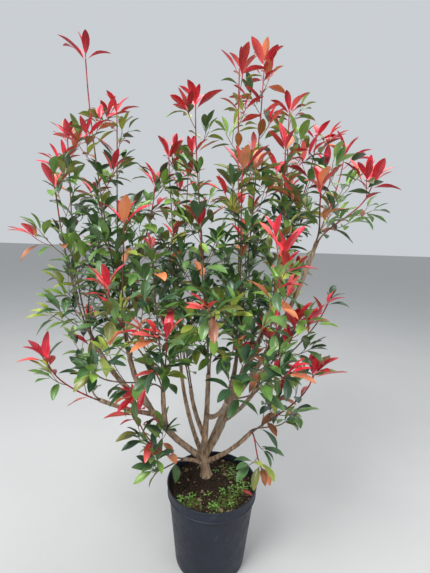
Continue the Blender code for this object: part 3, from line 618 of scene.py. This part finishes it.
# The leaves of one twig, and one finer twig part of the way along a long one
def growTwig(name, twig, share, youngRed, rng, finer):
    length, height = lengthOf(twig), twig["points"][-1][2]
    byPlace = growth["redTwigByPlace"] * youngRed * max(share - growth["redTwigFrom"], 0)
    byHeight = growth["redTwigByHeight"] * max(height - growth["redTwigAbove"], 0)
    isRed = rng.random() < growth["redTwigBase"] + byPlace + byHeight
    kind = "red" if isRed else "green" if share > growth["greenTwigFrom"] else "wood"
    plant[kind].append((twig["points"], twig["radii"]))
    own = greenFamily(height + growth["twigRipe"] * share, rng)
    if isRed:
        growRosette(name, twig, growth["redTwigHead"], youngFamily, growth["twigHead"], rng)
    else:
        growRosette(name, twig, growth["greenTwigHead"], lambda draw: own, growth["twigHead"], rng)
    turn = rng.uniform(0, fullTurn)
    count = max(1, round(length * growth["twigLeafShare"] / growth["twigLeafSpacing"]))
    for k in range(count):
        turn += goldenAngle
        place = growth["twigLeafFirst"] + growth["twigLeafSpan"] * (k + 0.5) / count
        isTurning = isRed and rng.random() < growth["turningOnTwig"]
        family = turningFamily(rng) if isTurning else greenFamily(height, rng)
        if not isRed and rng.random() < growth["sameOnTwig"]:
            family = own
        size = growth["leafLength"] * rng.uniform(*growth["twigLeafSizes"])
        curl = rng.uniform(*growth["leafCurl"])
        growLeaf(name, twig, place, turn, growth["leafAngle"], size, family, rng, curl)
    if finer and length > growth["finerFrom"]:
        root, radius = along(twig, growth["finerPlace"])
        direction = around(twig, growth["finerPlace"], rng.uniform(0, fullTurn), growth["finerAngle"])
        small = twigLine(root, direction, length * growth["finerShare"], growth["finerRadius"] * radius)
        if inSpace(name, small["points"][3:]):
            growTwig(name, small, share, youngRed * growth["finerRed"], rng, False)


for index, name in enumerate(shootTable):
    growShoot(index, name)
print("leaves:", len(plant["leaves"]), "twigs:", [len(plant[kind]) for kind in ("wood", "green", "red")])


# Leaves

leafShape = {
    "width": 0.34, "youngWidth": 0.28, "young": ("coral", "red", "crimson"), "stalk": 0.10,
    "stalkWidth": 0.014, "tipWidth": 0.008, "widest": 0.52, "swelling": 0.9, "pointing": 0.75,
    "teeth": 0.018, "teethFrom": 0.2, "fold": 0.36, "wave": 0.10, "waves": 9.0,
    "rows": [0, 0.05, 0.10, 0.16, 0.23, 0.31, 0.39, 0.47, 0.55, 0.63, 0.71, 0.79, 0.87, 0.94, 1.0],
}
leafColours = {                     # base colour of the blade, roughness
    "darkGreen": ((0.032, 0.088, 0.034), 0.32),
    "deepGreen": ((0.055, 0.132, 0.036), 0.33),
    "midGreen": ((0.120, 0.255, 0.050), 0.35),
    "freshGreen": ((0.200, 0.350, 0.055), 0.38),
    "yellowGreen": ((0.330, 0.400, 0.055), 0.40),
    "olive": ((0.190, 0.200, 0.036), 0.40),
    "bronze": ((0.330, 0.110, 0.040), 0.38),
    "orange": ((0.640, 0.200, 0.070), 0.38),
    "coral": ((0.780, 0.095, 0.085), 0.36),
    "red": ((0.720, 0.020, 0.046), 0.34),
    "crimson": ((0.520, 0.012, 0.036), 0.34),
}


# Leaves of one family. Along the leaf, u runs from the stalk to the tip and bends back by the curl, as an
# arc. Across it, v runs from edge to edge, raised by the fold in a V whose edges wave a little. The half
# width is a stalk, then a blade that swells and comes to a point, with small teeth.
def leafParts(rows, width):
    u = np.array(leafShape["rows"])
    v = np.array([-1.0, -0.5, 0.0, 0.5, 1.0])
    blade = np.clip((u - leafShape["stalk"]) / (1 - leafShape["stalk"]), 0, 1)
    rise = np.minimum(blade / leafShape["widest"], 1)
    fall = np.maximum(blade - leafShape["widest"], 0) / (1 - leafShape["widest"])
    swell = np.sin(0.5 * math.pi * rise) ** leafShape["swelling"]
    swell *= np.cos(0.5 * math.pi * fall) ** leafShape["pointing"]
    zigzag = np.where(np.arange(len(u)) % 2, 1, -1) * (blade > leafShape["teethFrom"])
    half = 0.5 * width * swell * (1 + leafShape["teeth"] * zigzag)
    half = np.maximum(half, 0.5 * leafShape["stalkWidth"])
    half[-1] = 0.5 * leafShape["tipWidth"]

    root, way, normal, length, curl = (np.array([row[k] for row in rows]) for k in range(5))
    across = unit(np.cross(way, normal))
    normal = np.cross(across, way)
    bend = curl[:, None] * u[None]
    forward = np.sin(bend) / curl[:, None] * length[:, None]
    down = (1 - np.cos(bend)) / curl[:, None] * length[:, None]
    spine = root[:, None] + way[:, None] * forward[..., None] - normal[:, None] * down[..., None]
    tilted = normal[:, None] * np.cos(bend)[..., None] + way[:, None] * np.sin(bend)[..., None]
    out = half[None, :, None] * length[:, None, None] * v[None, None]
    wave = np.sin(leafShape["waves"] * u[None, :, None] + 5 * curl[:, None, None])
    wave = leafShape["wave"] * wave * np.sign(v)[None, None] * (abs(v) == 1)
    lift = np.abs(out) * (leafShape["fold"] + wave)
    points = spine[:, :, None] + across[:, None, None] * out[..., None]
    points = points + tilted[:, :, None] * lift[..., None]

    quads = gridFaces(len(u), len(v), False)
    faces = quads[None] + (np.arange(len(rows)) * len(u) * len(v))[:, None, None]
    uu, vv = np.meshgrid(u, 0.5 + 0.5 * v, indexing="ij")
    uv = np.tile(np.stack([uu, vv], -1).reshape(-1, 2), (len(rows), 1))
    return points.reshape(-1, 3), faces.reshape(-1, 4).tolist(), uv


blade = {
    "coat": 0.36, "coatRoughness": 0.34, "specular": 0.52, "rib": (0.012, 0.045), "ribShare": 0.60,
    "veins": 62.0, "veinSlant": 34.0, "veinEdges": (0.80, 1.0), "veinDepth": 0.35, "veinShare": 0.40,
    "clouds": 16.0, "cloudEdges": (0.30, 0.70), "cloudRough": 0.20, "darkTone": 0.62,
    "lightTone": (1.28, 0.008), "ribTone": (1.5, 0.05), "grain": 420.0, "grainShare": 0.12,
    "veinSink": 0.6, "relief": 0.0006,
}


def toned(colour, times, more=0.0):
    return tuple(min(times * part + more, 1.0) for part in colour)


# Glossy blade: paler midrib and side veins, a soft cloud of lighter and darker tone, and fine leather grain
def leafFinish(name, colour, roughness):
    finish = Finish(name, Coat_Weight=blade["coat"], Coat_Roughness=blade["coatRoughness"],
                    Specular_IOR_Level=blade["specular"])
    u, v = finish.parts(finish.place("UV"))
    offRib = finish.maths("ABSOLUTE", v - 0.5)
    rib = 1 - finish.step(offRib, *blade["rib"])
    stripes = finish.maths("SINE", u * blade["veins"] - offRib * blade["veinSlant"])
    vein = finish.step(stripes, *blade["veinEdges"]) * blade["veinDepth"]
    cloud = finish.noise(blade["clouds"], 2.0)
    dark, light = toned(colour, blade["darkTone"]), toned(colour, *blade["lightTone"])
    tone = finish.blend(cloud, blade["cloudEdges"], dark, light)
    pale = rib * blade["ribShare"] + vein * blade["veinShare"]
    finish.feed("Base Color", finish.mix(pale, tone, toned(colour, *blade["ribTone"])))
    finish.feed("Roughness", roughness + (cloud - 0.5) * blade["cloudRough"])
    grain = finish.noise(blade["grain"], 1.0) * blade["grainShare"]
    finish.bump(vein * -blade["veinSink"] - rib + grain, blade["relief"])
    return finish


def leavesPiece(name, rows, width, finish):
    points, faces, uv = leafParts(rows, width)
    return joined(name, [(points, faces)], finish, uv=uv)


for family, (colour, roughness) in leafColours.items():
    rows = [row for row in plant["leaves"] if row[5] == family]
    if rows:
        width = leafShape["youngWidth" if family in leafShape["young"] else "width"]
        piece = leavesPiece("leaves_" + family, rows, width, leafFinish("leaf " + family, colour, roughness))
        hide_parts(*foliageNodes)
        print("leaves of", family, len(rows))


# Twigs and young stems

twigFinishes = {                    # base colours, shaded and lit, and roughness
    "wood": ((0.105, 0.060, 0.038), (0.235, 0.150, 0.095), 0.62),
    "green": ((0.095, 0.075, 0.028), (0.190, 0.110, 0.045), 0.48),
    "red": ((0.150, 0.012, 0.016), (0.380, 0.035, 0.035), 0.40),
}
twigLook = {"sides": 7, "specular": 0.45, "clouds": 60.0, "cloudEdges": (0.32, 0.68), "cloudRough": 0.2,
            "grain": 300.0, "relief": 0.0004}


# Smooth young bark, clouded and finely grained
def twigFinish(name, shaded, lit, roughness):
    finish = Finish(name, Specular_IOR_Level=twigLook["specular"])
    cloud = finish.noise(twigLook["clouds"], 3.0)
    finish.feed("Base Color", finish.blend(cloud, twigLook["cloudEdges"], shaded, lit))
    finish.feed("Roughness", roughness + (cloud - 0.5) * twigLook["cloudRough"])
    finish.bump(finish.noise(twigLook["grain"], 2.0), twigLook["relief"])
    return finish


for kind, colours in twigFinishes.items():
    parts = [tubePart(points, radii, twigLook["sides"]) for points, radii in plant[kind]]
    piece = joined("twigs_" + kind, parts, twigFinish("twig " + kind, *colours))
    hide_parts(*foliageNodes)
print("twigs made")


# Trunk and boughs

bark = {"ridges": 0.00045, "swell": 0.0006, "wrinkles": 0.00012, "trunkSides": 28, "boughSides": 18,
        "collar": 0.22, "collarFrom": 0.012, "collarLength": 0.016, "dome": (0.0128, 0.0128, 0.0110)}
barkLook = {
    "specular": 0.35, "streaks": 140.0, "streakStretch": (1.0, 1.0, 0.25), "streakEdges": (0.35, 0.65),
    "shaded": (0.150, 0.092, 0.056), "lit": (0.420, 0.285, 0.185), "patches": 22.0,
    "patchEdges": (0.52, 0.70), "grey": (0.290, 0.250, 0.200), "lenticels": 230.0,
    "lenticelStretch": (0.45, 0.45, 1.6), "lenticelEdges": (0.10, 0.20), "lenticelShare": 0.55,
    "lenticel": (0.520, 0.410, 0.290), "roughness": 0.62, "streakRough": 0.25, "grain": 600.0,
    "relief": 0.0007,
}


# Relief of the bark: long shallow ridges, low swellings and fine wrinkles across, summed from sines
def barkRelief(places):
    x, y, z = places[..., 0], places[..., 1], places[..., 2]
    ridges = np.sin(900 * x + 40 * z) * np.sin(870 * y - 35 * z)
    swell = np.sin(95 * z + 30 * x) * np.sin(70 * z + 45 * y)
    wrinkles = np.sin(1400 * z + 12 * np.sin(400 * x))
    return bark["ridges"] * ridges + bark["swell"] * swell + bark["wrinkles"] * wrinkles


# Smooth tan bark with darker streaks, grey patches, pale lenticels and fine wrinkles
def barkFinish():
    finish = Finish("bark", Specular_IOR_Level=barkLook["specular"])
    streaks = finish.noise(barkLook["streaks"], 4.0, vector=finish.stretched(barkLook["streakStretch"]))
    patches = finish.noise(barkLook["patches"], 3.0)
    cells = finish.cells(barkLook["lenticels"], finish.stretched(barkLook["lenticelStretch"]))
    lenticel = 1 - finish.step(cells, *barkLook["lenticelEdges"])
    tan = finish.blend(streaks, barkLook["streakEdges"], barkLook["shaded"], barkLook["lit"])
    grey = finish.blend(patches, barkLook["patchEdges"], tan, barkLook["grey"])
    spotted = finish.mix(lenticel * barkLook["lenticelShare"], grey, barkLook["lenticel"])
    finish.feed("Base Color", spotted)
    finish.feed("Roughness", barkLook["roughness"] + streaks * barkLook["streakRough"])
    grain = finish.noise(barkLook["grain"], 2.0)
    finish.bump(streaks * 0.6 + lenticel * 0.5 + grain * 0.25, barkLook["relief"])
    return finish


# Each stem's foot has a collar that dies away along it
def boughParts():
    parts = []
    for limb, line in limbLines.items():
        radii, sides = line["radii"], bark["trunkSides"]
        if limb != "trunk":
            arc = np.linspace(0, lengthOf(line), len(line["points"]))
            past = np.maximum(arc - bark["collarFrom"], 0)
            radii = radii * (1 + bark["collar"] * np.exp(-past / bark["collarLength"]))
            sides = bark["boughSides"]
        parts.append(tubePart(line["points"], radii, sides, barkRelief))
    # The fork is rounded over with a low dome where the stems leave the trunk
    ball, ballFaces = lump(12, 24)
    return parts + [copiesPart(ball, ballFaces, np.diag(bark["dome"])[None], np.array([trunk["fork"]]))]


boughs = joined("trunk_and_boughs", boughParts(), barkFinish())
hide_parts(*limbNodes)
print("boughs made")


# Pot

def wallRadius(z):
    top = potShape["rimRadius"] - potShape["collarInset"] - potShape["collarStep"]
    return potShape["baseRadius"] + (top - potShape["baseRadius"]) * z / potShape["collarFoot"]


def collarRadius(z):
    flare = (z - potShape["height"]) * potShape["collarFlare"]
    return potShape["rimRadius"] - potShape["collarInset"] + flare


# A profile of radius and height turned round the axis; the ends near the axis are closed by one round face
def lathePart(profile, segments, height=None):
    profile = np.array(profile)
    turn = np.arange(segments) * fullTurn / segments
    x = profile[:, :1] * np.cos(turn)
    y = profile[:, :1] * np.sin(turn)
    z = profile[:, 1:] * np.ones(segments)
    if height is not None:
        z = height(x, y, z)
    return np.stack([x, y, z], -1).reshape(-1, 3), ringFaces(len(profile), segments)


# A straight line's points, without its first
def bent(first, second, count):
    share = np.linspace(0, 1, count)[1:]
    return [(first[0] + (second[0] - first[0]) * s, first[1] + (second[1] - first[1]) * s) for s in share]


# A quarter round from one point to another, its bulge towards the corner, as a parabola
def rounded(first, corner, second, count=5):
    first, corner, second = np.array(first), np.array(corner), np.array(second)
    t = np.linspace(0, 1, count)[:, None]
    return [tuple(point) for point in (1 - t) ** 2 * first + 2 * t * (1 - t) * corner + t ** 2 * second]


# Up the outside from the base to the lip, and down the inside to the floor
def potProfile():
    height, wall, floor = potShape["height"], potShape["wall"], potShape["floor"]
    foot, slope, lipFoot = potShape["collarFoot"], potShape["collarSlope"], height - potShape["lipHeight"]
    rim, edge = potShape["rimRadius"], potShape["lipEdge"]
    chamfer, hub, small = potShape["chamfer"], potShape["hub"], potShape["small"]
    low, high, lipInside = collarRadius(foot), collarRadius(lipFoot), rim - potShape["lipDepth"]
    bead, beadTop = low + potShape["bead"], foot + 2.4 * slope
    wallTop, step = foot - 10 * small, foot - 5 * small
    profile = [(hub, 0.0)] + bent((hub, 0.0), (wallRadius(0) - 2 * chamfer, 0.0), 6)
    profile += rounded((wallRadius(0) - chamfer, 0.0), (wallRadius(0), 0.0), (wallRadius(chamfer), chamfer))
    profile += bent((wallRadius(chamfer), chamfer), (wallRadius(wallTop), wallTop), 30)
    profile += rounded((wallRadius(step), step), (wallRadius(foot), foot + 2 * small),
                       (wallRadius(foot) + 6 * small, foot + 3 * small), 4)
    profile += rounded((low - 7 * small, foot + 4 * small), (bead, foot + small), (bead, foot + slope))
    profile += rounded((bead, foot + slope), (bead, foot + 2 * slope), (low, beadTop))
    profile += bent((low, beadTop), (high, lipFoot - 3 * small), 8)
    lipStart = rim - 2 * small, lipFoot + 4 * small
    profile += rounded((high, lipFoot), (high, lipFoot + 3 * small), lipStart, 3)
    profile += rounded((rim, lipFoot + slope / 2), (rim, height), (rim - edge, height))
    profile += rounded((lipInside + edge, height), (lipInside, height), (high - wall, lipFoot))
    profile += bent((high - wall, lipFoot), (low - wall, foot + slope + wall), 5)
    profile += [(wallRadius(foot) - wall, foot + wall)]
    profile += bent((wallRadius(foot) - wall, foot + wall), (wallRadius(0.02) - wall, 0.02), 6)
    profile += [(wallRadius(floor) - wall, floor), (hub, floor)]
    return profile


potLook = {
    "specular": 0.38, "clouds": 9.0, "cloudEdges": (0.3, 0.7), "shaded": (0.0058, 0.0088, 0.0175),
    "lit": (0.0105, 0.0155, 0.0290), "dustScale": 38.0, "dustEdges": (0.54, 0.78), "dustShare": 0.35,
    "dust": (0.075, 0.080, 0.085), "specks": 190.0, "speckEdges": (0.05, 0.13), "speckPatches": 75.0,
    "patchEdges": (0.52, 0.60), "speckShare": 0.8, "speck": (0.330, 0.330, 0.310), "roughness": 0.40,
    "dullEdges": (0.4, 0.75), "dustRough": 0.22, "cloudRough": 0.06, "grain": 900.0, "relief": 0.0006,
}


# Dark slate plastic: satin, slightly clouded, with pale specks of dust and faint marks from handling
def potFinish():
    finish = Finish("pot plastic", Specular_IOR_Level=potLook["specular"])
    cloud = finish.noise(potLook["clouds"], 4.0)
    dust = finish.noise(potLook["dustScale"], 5.0)
    specks = 1 - finish.step(finish.cells(potLook["specks"]), *potLook["speckEdges"])
    chosen = finish.step(finish.noise(potLook["speckPatches"], 1.0), *potLook["patchEdges"])
    base = finish.blend(cloud, potLook["cloudEdges"], potLook["shaded"], potLook["lit"])
    dustiness = finish.step(dust, *potLook["dustEdges"]) * potLook["dustShare"]
    dusty = finish.mix(dustiness, base, potLook["dust"])
    finish.feed("Base Color", finish.mix(specks * chosen * potLook["speckShare"], dusty, potLook["speck"]))
    dull = finish.step(dust, *potLook["dullEdges"]) * potLook["dustRough"]
    finish.feed("Roughness", potLook["roughness"] + dull + cloud * potLook["cloudRough"])
    finish.bump(finish.noise(potLook["grain"], 2.0) * 0.5 + cloud * 0.6, potLook["relief"])
    return finish


# Round cutters through the floor, evenly spaced on a ring
def drainCutters():
    cutters = []
    heights = np.linspace(-1, 2, 4)[:, None] * potShape["floor"]
    for k in range(potShape["drainHoles"]):
        turn = fullTurn * (k + 0.5) / potShape["drainHoles"]
        centre = np.array([math.cos(turn), math.sin(turn), 0.0]) * potShape["drainRing"]
        radii = np.full(4, potShape["drainRadius"])
        cutters.append(tubePart(centre + heights * upward, radii, potShape["drainSides"]))
    return cutters


plastic = potFinish()
pot = joined("plastic_pot", [lathePart(potProfile(), potShape["segments"])], plastic)
drill = joined("drill", drainCutters(), plastic)
cut = pot.modifiers.new("drain holes", "BOOLEAN")
cut.operation, cut.solver, cut.object = "DIFFERENCE", "EXACT", drill
bpy.context.view_layer.update()
pot.data = bpy.data.meshes.new_from_object(pot.evaluated_get(bpy.context.evaluated_depsgraph_get()))
pot.modifiers.clear()
bpy.data.objects.remove(drill)
pot.data.shade_smooth()
pot.data.set_sharp_from_angle(angle=potShape["sharpFrom"])
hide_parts("pot")
print("pot made")


# Soil

soil = {"level": 0.220, "hump": 0.0022, "crumb": 0.0016, "flatPlace": 0.034, "gap": 0.0004, "hub": 0.0015,
        "collarFoot": 0.008, "rings": 60, "segments": 200}


def fromTrunk(x, y):
    return np.hypot(x - trunk["foot"][0], y - trunk["foot"][1])


# Rolling ground, flat by the trunk: long sines as in the source, and crumbs as the product of short ones
def soilHeight(x, y):
    blend = np.clip((fromTrunk(x, y) - 0.6 * soil["flatPlace"]) / soil["flatPlace"], 0, 1)
    roll = np.sin(61 * x + 0.7) * np.cos(47 * y - 0.4) + 0.6 * np.sin(93 * y + 55 * x) - 1.6
    crumbs = (np.sin(611 * x + 3 * np.sin(190 * y)) * np.sin(577 * y + 2 * np.sin(230 * x))
              + 0.6 * np.sin(1290 * x + 700 * y) * np.sin(1130 * y - 610 * x))
    return soil["level"] + soil["hump"] * blend * roll + soil["crumb"] * crumbs * (0.35 + 0.65 * blend)


# The filling follows the pot's inside, a hair away from it, and its top follows the rolling ground
def soilPart():
    away, foot = potShape["wall"] + soil["gap"], potShape["collarFoot"]
    inner, low = collarRadius(soil["level"]) - away, potShape["floor"] + soil["gap"]
    profile = [(potShape["hub"], low), (wallRadius(low) - away, low),
               (wallRadius(foot) - away, foot + potShape["wall"]), (inner, foot + soil["collarFoot"])]
    profile += [(radius, soil["level"]) for radius in np.linspace(inner, soil["hub"], soil["rings"])]

    def height(x, y, z):
        return np.where(z > soil["level"] - 1e-6, soilHeight(x, y), z)

    return lathePart(profile, soil["segments"], height)


soilLook = {
    "dark": (0.010, 0.006, 0.004), "light": (0.055, 0.034, 0.020), "roughness": 0.92,
    "litterRoughness": 0.85, "specular": 0.25, "fine": 260.0, "fineEdges": (0.38, 0.66),
    "fineRough": 0.12, "broad": 34.0, "broadEdges": (0.5, 0.7), "broadShare": 0.5, "broadTone": 0.5,
    "grain": 700.0, "relief": 0.0020,
}


# Moist crumbly stuff with browner fibres and crumbs
def soilFinish(name, dark, light, roughness):
    finish = Finish(name, Specular_IOR_Level=soilLook["specular"])
    fine, broad = finish.noise(soilLook["fine"], 5.0, 0.7), finish.noise(soilLook["broad"], 3.0)
    tone = finish.blend(fine, soilLook["fineEdges"], dark, light)
    browner = finish.step(broad, *soilLook["broadEdges"]) * soilLook["broadShare"]
    finish.feed("Base Color", finish.mix(browner, tone, toned(light, soilLook["broadTone"])))
    finish.feed("Roughness", roughness + (fine - 0.5) * soilLook["fineRough"])
    finish.bump(fine + finish.noise(soilLook["grain"], 2.0) * 0.4, soilLook["relief"])
    return finish


compost = soilFinish("compost", soilLook["dark"], soilLook["light"], soilLook["roughness"])
ground = joined("potting_compost", [soilPart()], compost)
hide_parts("potting_soil")


# What lies on the soil: how many, how large, how long and how flat; a spread gathers it round the moss beds
litter = {
    "crumbs": {"count": 900, "size": (0.0016, 0.0045), "stretch": (1.0, 1.7), "flat": 0.75, "seed": 21,
               "dark": (0.012, 0.007, 0.004), "light": (0.075, 0.045, 0.026)},
    "wood_chips": {"count": 70, "size": (0.0030, 0.0075), "stretch": (1.0, 1.7), "flat": 0.28, "seed": 22,
                   "dark": (0.120, 0.080, 0.045), "light": (0.360, 0.260, 0.160)},
    "moss": {"count": 420, "size": (0.0022, 0.0050), "stretch": (1.0, 1.7), "flat": 0.55, "seed": 23,
             "dark": (0.030, 0.060, 0.010), "light": (0.140, 0.190, 0.035), "spread": 0.016},
    "straw_bits": {"count": 150, "size": (0.0006, 0.0010), "stretch": (7, 16), "flat": 1.0, "seed": 24,
                   "dark": (0.220, 0.190, 0.060), "light": (0.480, 0.420, 0.180), "spread": 0.024},
}
litterRule = {"rimClear": 0.010, "trunkClear": 0.004, "tilt": 0.35, "sink": 0.25, "rough": 0.16}
mossBeds = np.array([[0.055, -0.055], [0.020, -0.085], [0.085, -0.010], [-0.060, -0.070], [0.060, 0.060]])


def litterPlaces(kind, rng):
    count, edge = litter[kind]["count"], collarRadius(soil["level"]) - litterRule["rimClear"]
    radius, turn = edge * np.sqrt(rng.uniform(0.02, 1, count)), rng.uniform(0, fullTurn, count)
    x, y = radius * np.cos(turn), radius * np.sin(turn)
    if "spread" in litter[kind]:
        bed, spread = mossBeds[rng.integers(0, len(mossBeds), count)], litter[kind]["spread"]
        x, y = bed[:, 0] + rng.normal(0, spread, count), bed[:, 1] + rng.normal(0, spread, count)
    keep = (np.hypot(x, y) < edge) & (fromTrunk(x, y) > trunk["flareRadius"] + litterRule["trunkClear"])
    return x[keep], y[keep]


# Copies of one rough lump, each turned, tilted, stretched and sunk a little into the ground
def scatter(kind):
    rule = litter[kind]
    rng = np.random.default_rng(rule["seed"])
    x, y = litterPlaces(kind, rng)
    size = rng.uniform(*rule["size"], len(x))
    turn = rng.uniform(0, fullTurn, len(x))
    tilt = rng.uniform(-litterRule["tilt"], litterRule["tilt"], len(x))
    stretch = rng.uniform(*rule["stretch"], len(x))
    first = np.stack([np.cos(turn) * np.cos(tilt), np.sin(turn) * np.cos(tilt), np.sin(tilt)], 1)
    second = np.stack([-np.sin(turn), np.cos(turn), np.zeros(len(x))], 1)
    third = np.cross(first, second)
    axes = np.stack([first * (size * stretch)[:, None], second * size[:, None],
                     third * (size * rule["flat"])[:, None]], 1)
    places = np.stack([x, y, soilHeight(x, y) + litterRule["sink"] * size], 1)
    shape, faces = lump(5, 6, litterRule["rough"], rule["seed"])
    finish = soilFinish(kind.replace("_", " "), rule["dark"], rule["light"], soilLook["litterRoughness"])
    joined(kind, [copiesPart(shape, faces, axes, places)], finish)


for kind in litter:
    scatter(kind)


seedling = {
    "seed": 31, "count": 26, "spread": 0.020, "edge": 0.120, "trunkClear": 0.035, "lean": 0.004,
    "height": (0.008, 0.020), "sunk": 0.001, "stalkRadius": 0.0005, "leaves": 4, "pairGap": 0.002,
    "leafRise": 0.35, "leafLength": (0.009, 0.015), "leafCurl": 0.6,
    "leafLook": ((0.130, 0.300, 0.040), 0.45),
    "stalkLook": ((0.10, 0.16, 0.03), (0.20, 0.28, 0.06), 0.5),
}
fallen = {"x": 0.083, "y": -0.020, "above": 0.004, "way": (0.85, -0.45, 0.10), "length": 0.046, "curl": 0.35,
          "look": ((0.420, 0.045, 0.035), 0.45)}


def onSoil(x, y):
    return np.array([x, y, float(soilHeight(np.array(x), np.array(y)))])


# Seedlings on the moss beds, each a stalk with two pairs of small leaves square to each other
def growSeedlings():
    rng = Random(seedling["seed"])
    rows, stalks = [], []
    for k in range(seedling["count"]):
        bed = mossBeds[k % len(mossBeds)]
        x, y = bed[0] + rng.gauss(0, seedling["spread"]), bed[1] + rng.gauss(0, seedling["spread"])
        if math.hypot(x, y) > seedling["edge"] or fromTrunk(x, y) < seedling["trunkClear"]:
            continue
        root, lean = onSoil(x, y), seedling["lean"]
        top = root + [rng.uniform(-lean, lean), rng.uniform(-lean, lean), rng.uniform(*seedling["height"])]
        share = np.linspace(0, 1, 4)[:, None]
        stalk = root - seedling["sunk"] * upward + (top - root) * share
        stalks.append(tubePart(stalk, np.full(4, seedling["stalkRadius"]), 5))
        turn = rng.uniform(0, fullTurn)
        for leaf in range(seedling["leaves"]):
            turn += 0.5 * math.pi if leaf == 2 else math.pi
            way = unit(np.array([math.cos(turn), math.sin(turn), seedling["leafRise"]]))
            place, length = top - seedling["pairGap"] * leaf * upward, rng.uniform(*seedling["leafLength"])
            rows.append((place, way, upward, length, seedling["leafCurl"]))
    return rows, stalks


rows, stalks = growSeedlings()
leavesPiece("seedlings", rows, leafShape["width"], leafFinish("seedling", *seedling["leafLook"]))
stalkFinish = twigFinish("seedling stalk", *seedling["stalkLook"])
joined("seedling_stalks", stalks, stalkFinish)

# The red leaf that has fallen on the soil
root = onSoil(fallen["x"], fallen["y"]) + fallen["above"] * upward
rows = [(root, unit(np.array(fallen["way"])), upward, fallen["length"], fallen["curl"])]
leavesPiece("fallen_leaf", rows, leafShape["width"], leafFinish("fallen leaf", *fallen["look"]))
print("soil made")


# Floor, light and camera

studio = {
    "floorSize": 60.0, "floorHeight": -0.0005, "floorColours": ((0.46, 0.46, 0.455), (0.50, 0.50, 0.495)),
    "floorRoughness": 0.85,
    "worldColour": (0.80, 0.84, 0.88), "worldStrength": 0.74, "lampAim": (-0.03, 0.0, 0.8),
    "cameraPlace": (-0.0133, -0.9984, 0.975), "tiltDown": 4.01, "roll": 1.93,
    "focal": 340.0, "imageHeight": 573, "sensor": 36.0, "riseOfAxis": 23.6,
}
lamps = {                               # place, size, power in watts
    "key": ((-1.3, -1.7, 3.1), 1.3, 118),
    "fill": ((2.2, -1.6, 1.8), 2.0, 30),
    "top": ((0.3, 0.6, 3.4), 2.2, 45),
}


def makeFloor():
    half, height = studio["floorSize"] / 2, studio["floorHeight"]
    corners = [(x * half, y * half, height) for x, y in ((-1, -1), (1, -1), (1, 1), (-1, 1))]
    mesh = bpy.data.meshes.new("floor")
    mesh.from_pydata(corners, [], [(0, 1, 2, 3)])
    finish = Finish("floor", Roughness=studio["floorRoughness"])
    finish.feed("Base Color", finish.mix(finish.noise(3.0, 4.0), *studio["floorColours"]))
    mesh.materials.append(finish.material)
    floor = bpy.data.objects.new("floor", mesh)
    bpy.context.scene.collection.objects.link(floor)


def makeLight():
    world = bpy.data.worlds.new("studio")
    bpy.context.scene.world = world
    world.use_nodes = True
    background = world.node_tree.nodes["Background"]
    background.inputs["Color"].default_value = (*studio["worldColour"], 1.0)
    background.inputs["Strength"].default_value = studio["worldStrength"]
    for name, (place, size, power) in lamps.items():
        data = bpy.data.lights.new(name, "AREA")
        data.energy, data.size = power, size
        lamp = bpy.data.objects.new(name, data)
        lamp.location = place
        aim = Vector(studio["lampAim"]) - Vector(place)
        lamp.rotation_euler = aim.to_track_quat("-Z", "Y").to_euler()
        bpy.context.scene.collection.objects.link(lamp)


# The focal length and the axis's rise are in pixels of the photograph, whose height is given
def makeCamera():
    data = bpy.data.cameras.new("camera")
    data.sensor_width = studio["sensor"]
    data.sensor_fit = "AUTO"
    data.lens = studio["focal"] * studio["sensor"] / studio["imageHeight"]
    data.shift_y = -studio["riseOfAxis"] / studio["imageHeight"]
    camera = bpy.data.objects.new("camera", data)
    camera.location = studio["cameraPlace"]
    camera.rotation_mode = "QUATERNION"
    tilt = Quaternion((1, 0, 0), math.radians(90 - studio["tiltDown"]))
    camera.rotation_quaternion = tilt @ Quaternion((0, 0, 1), math.radians(studio["roll"]))
    bpy.context.scene.collection.objects.link(camera)
    bpy.context.scene.camera = camera


makeFloor()
makeLight()
makeCamera()
bpy.context.scene.view_settings.view_transform = "Standard"
print("studio made")
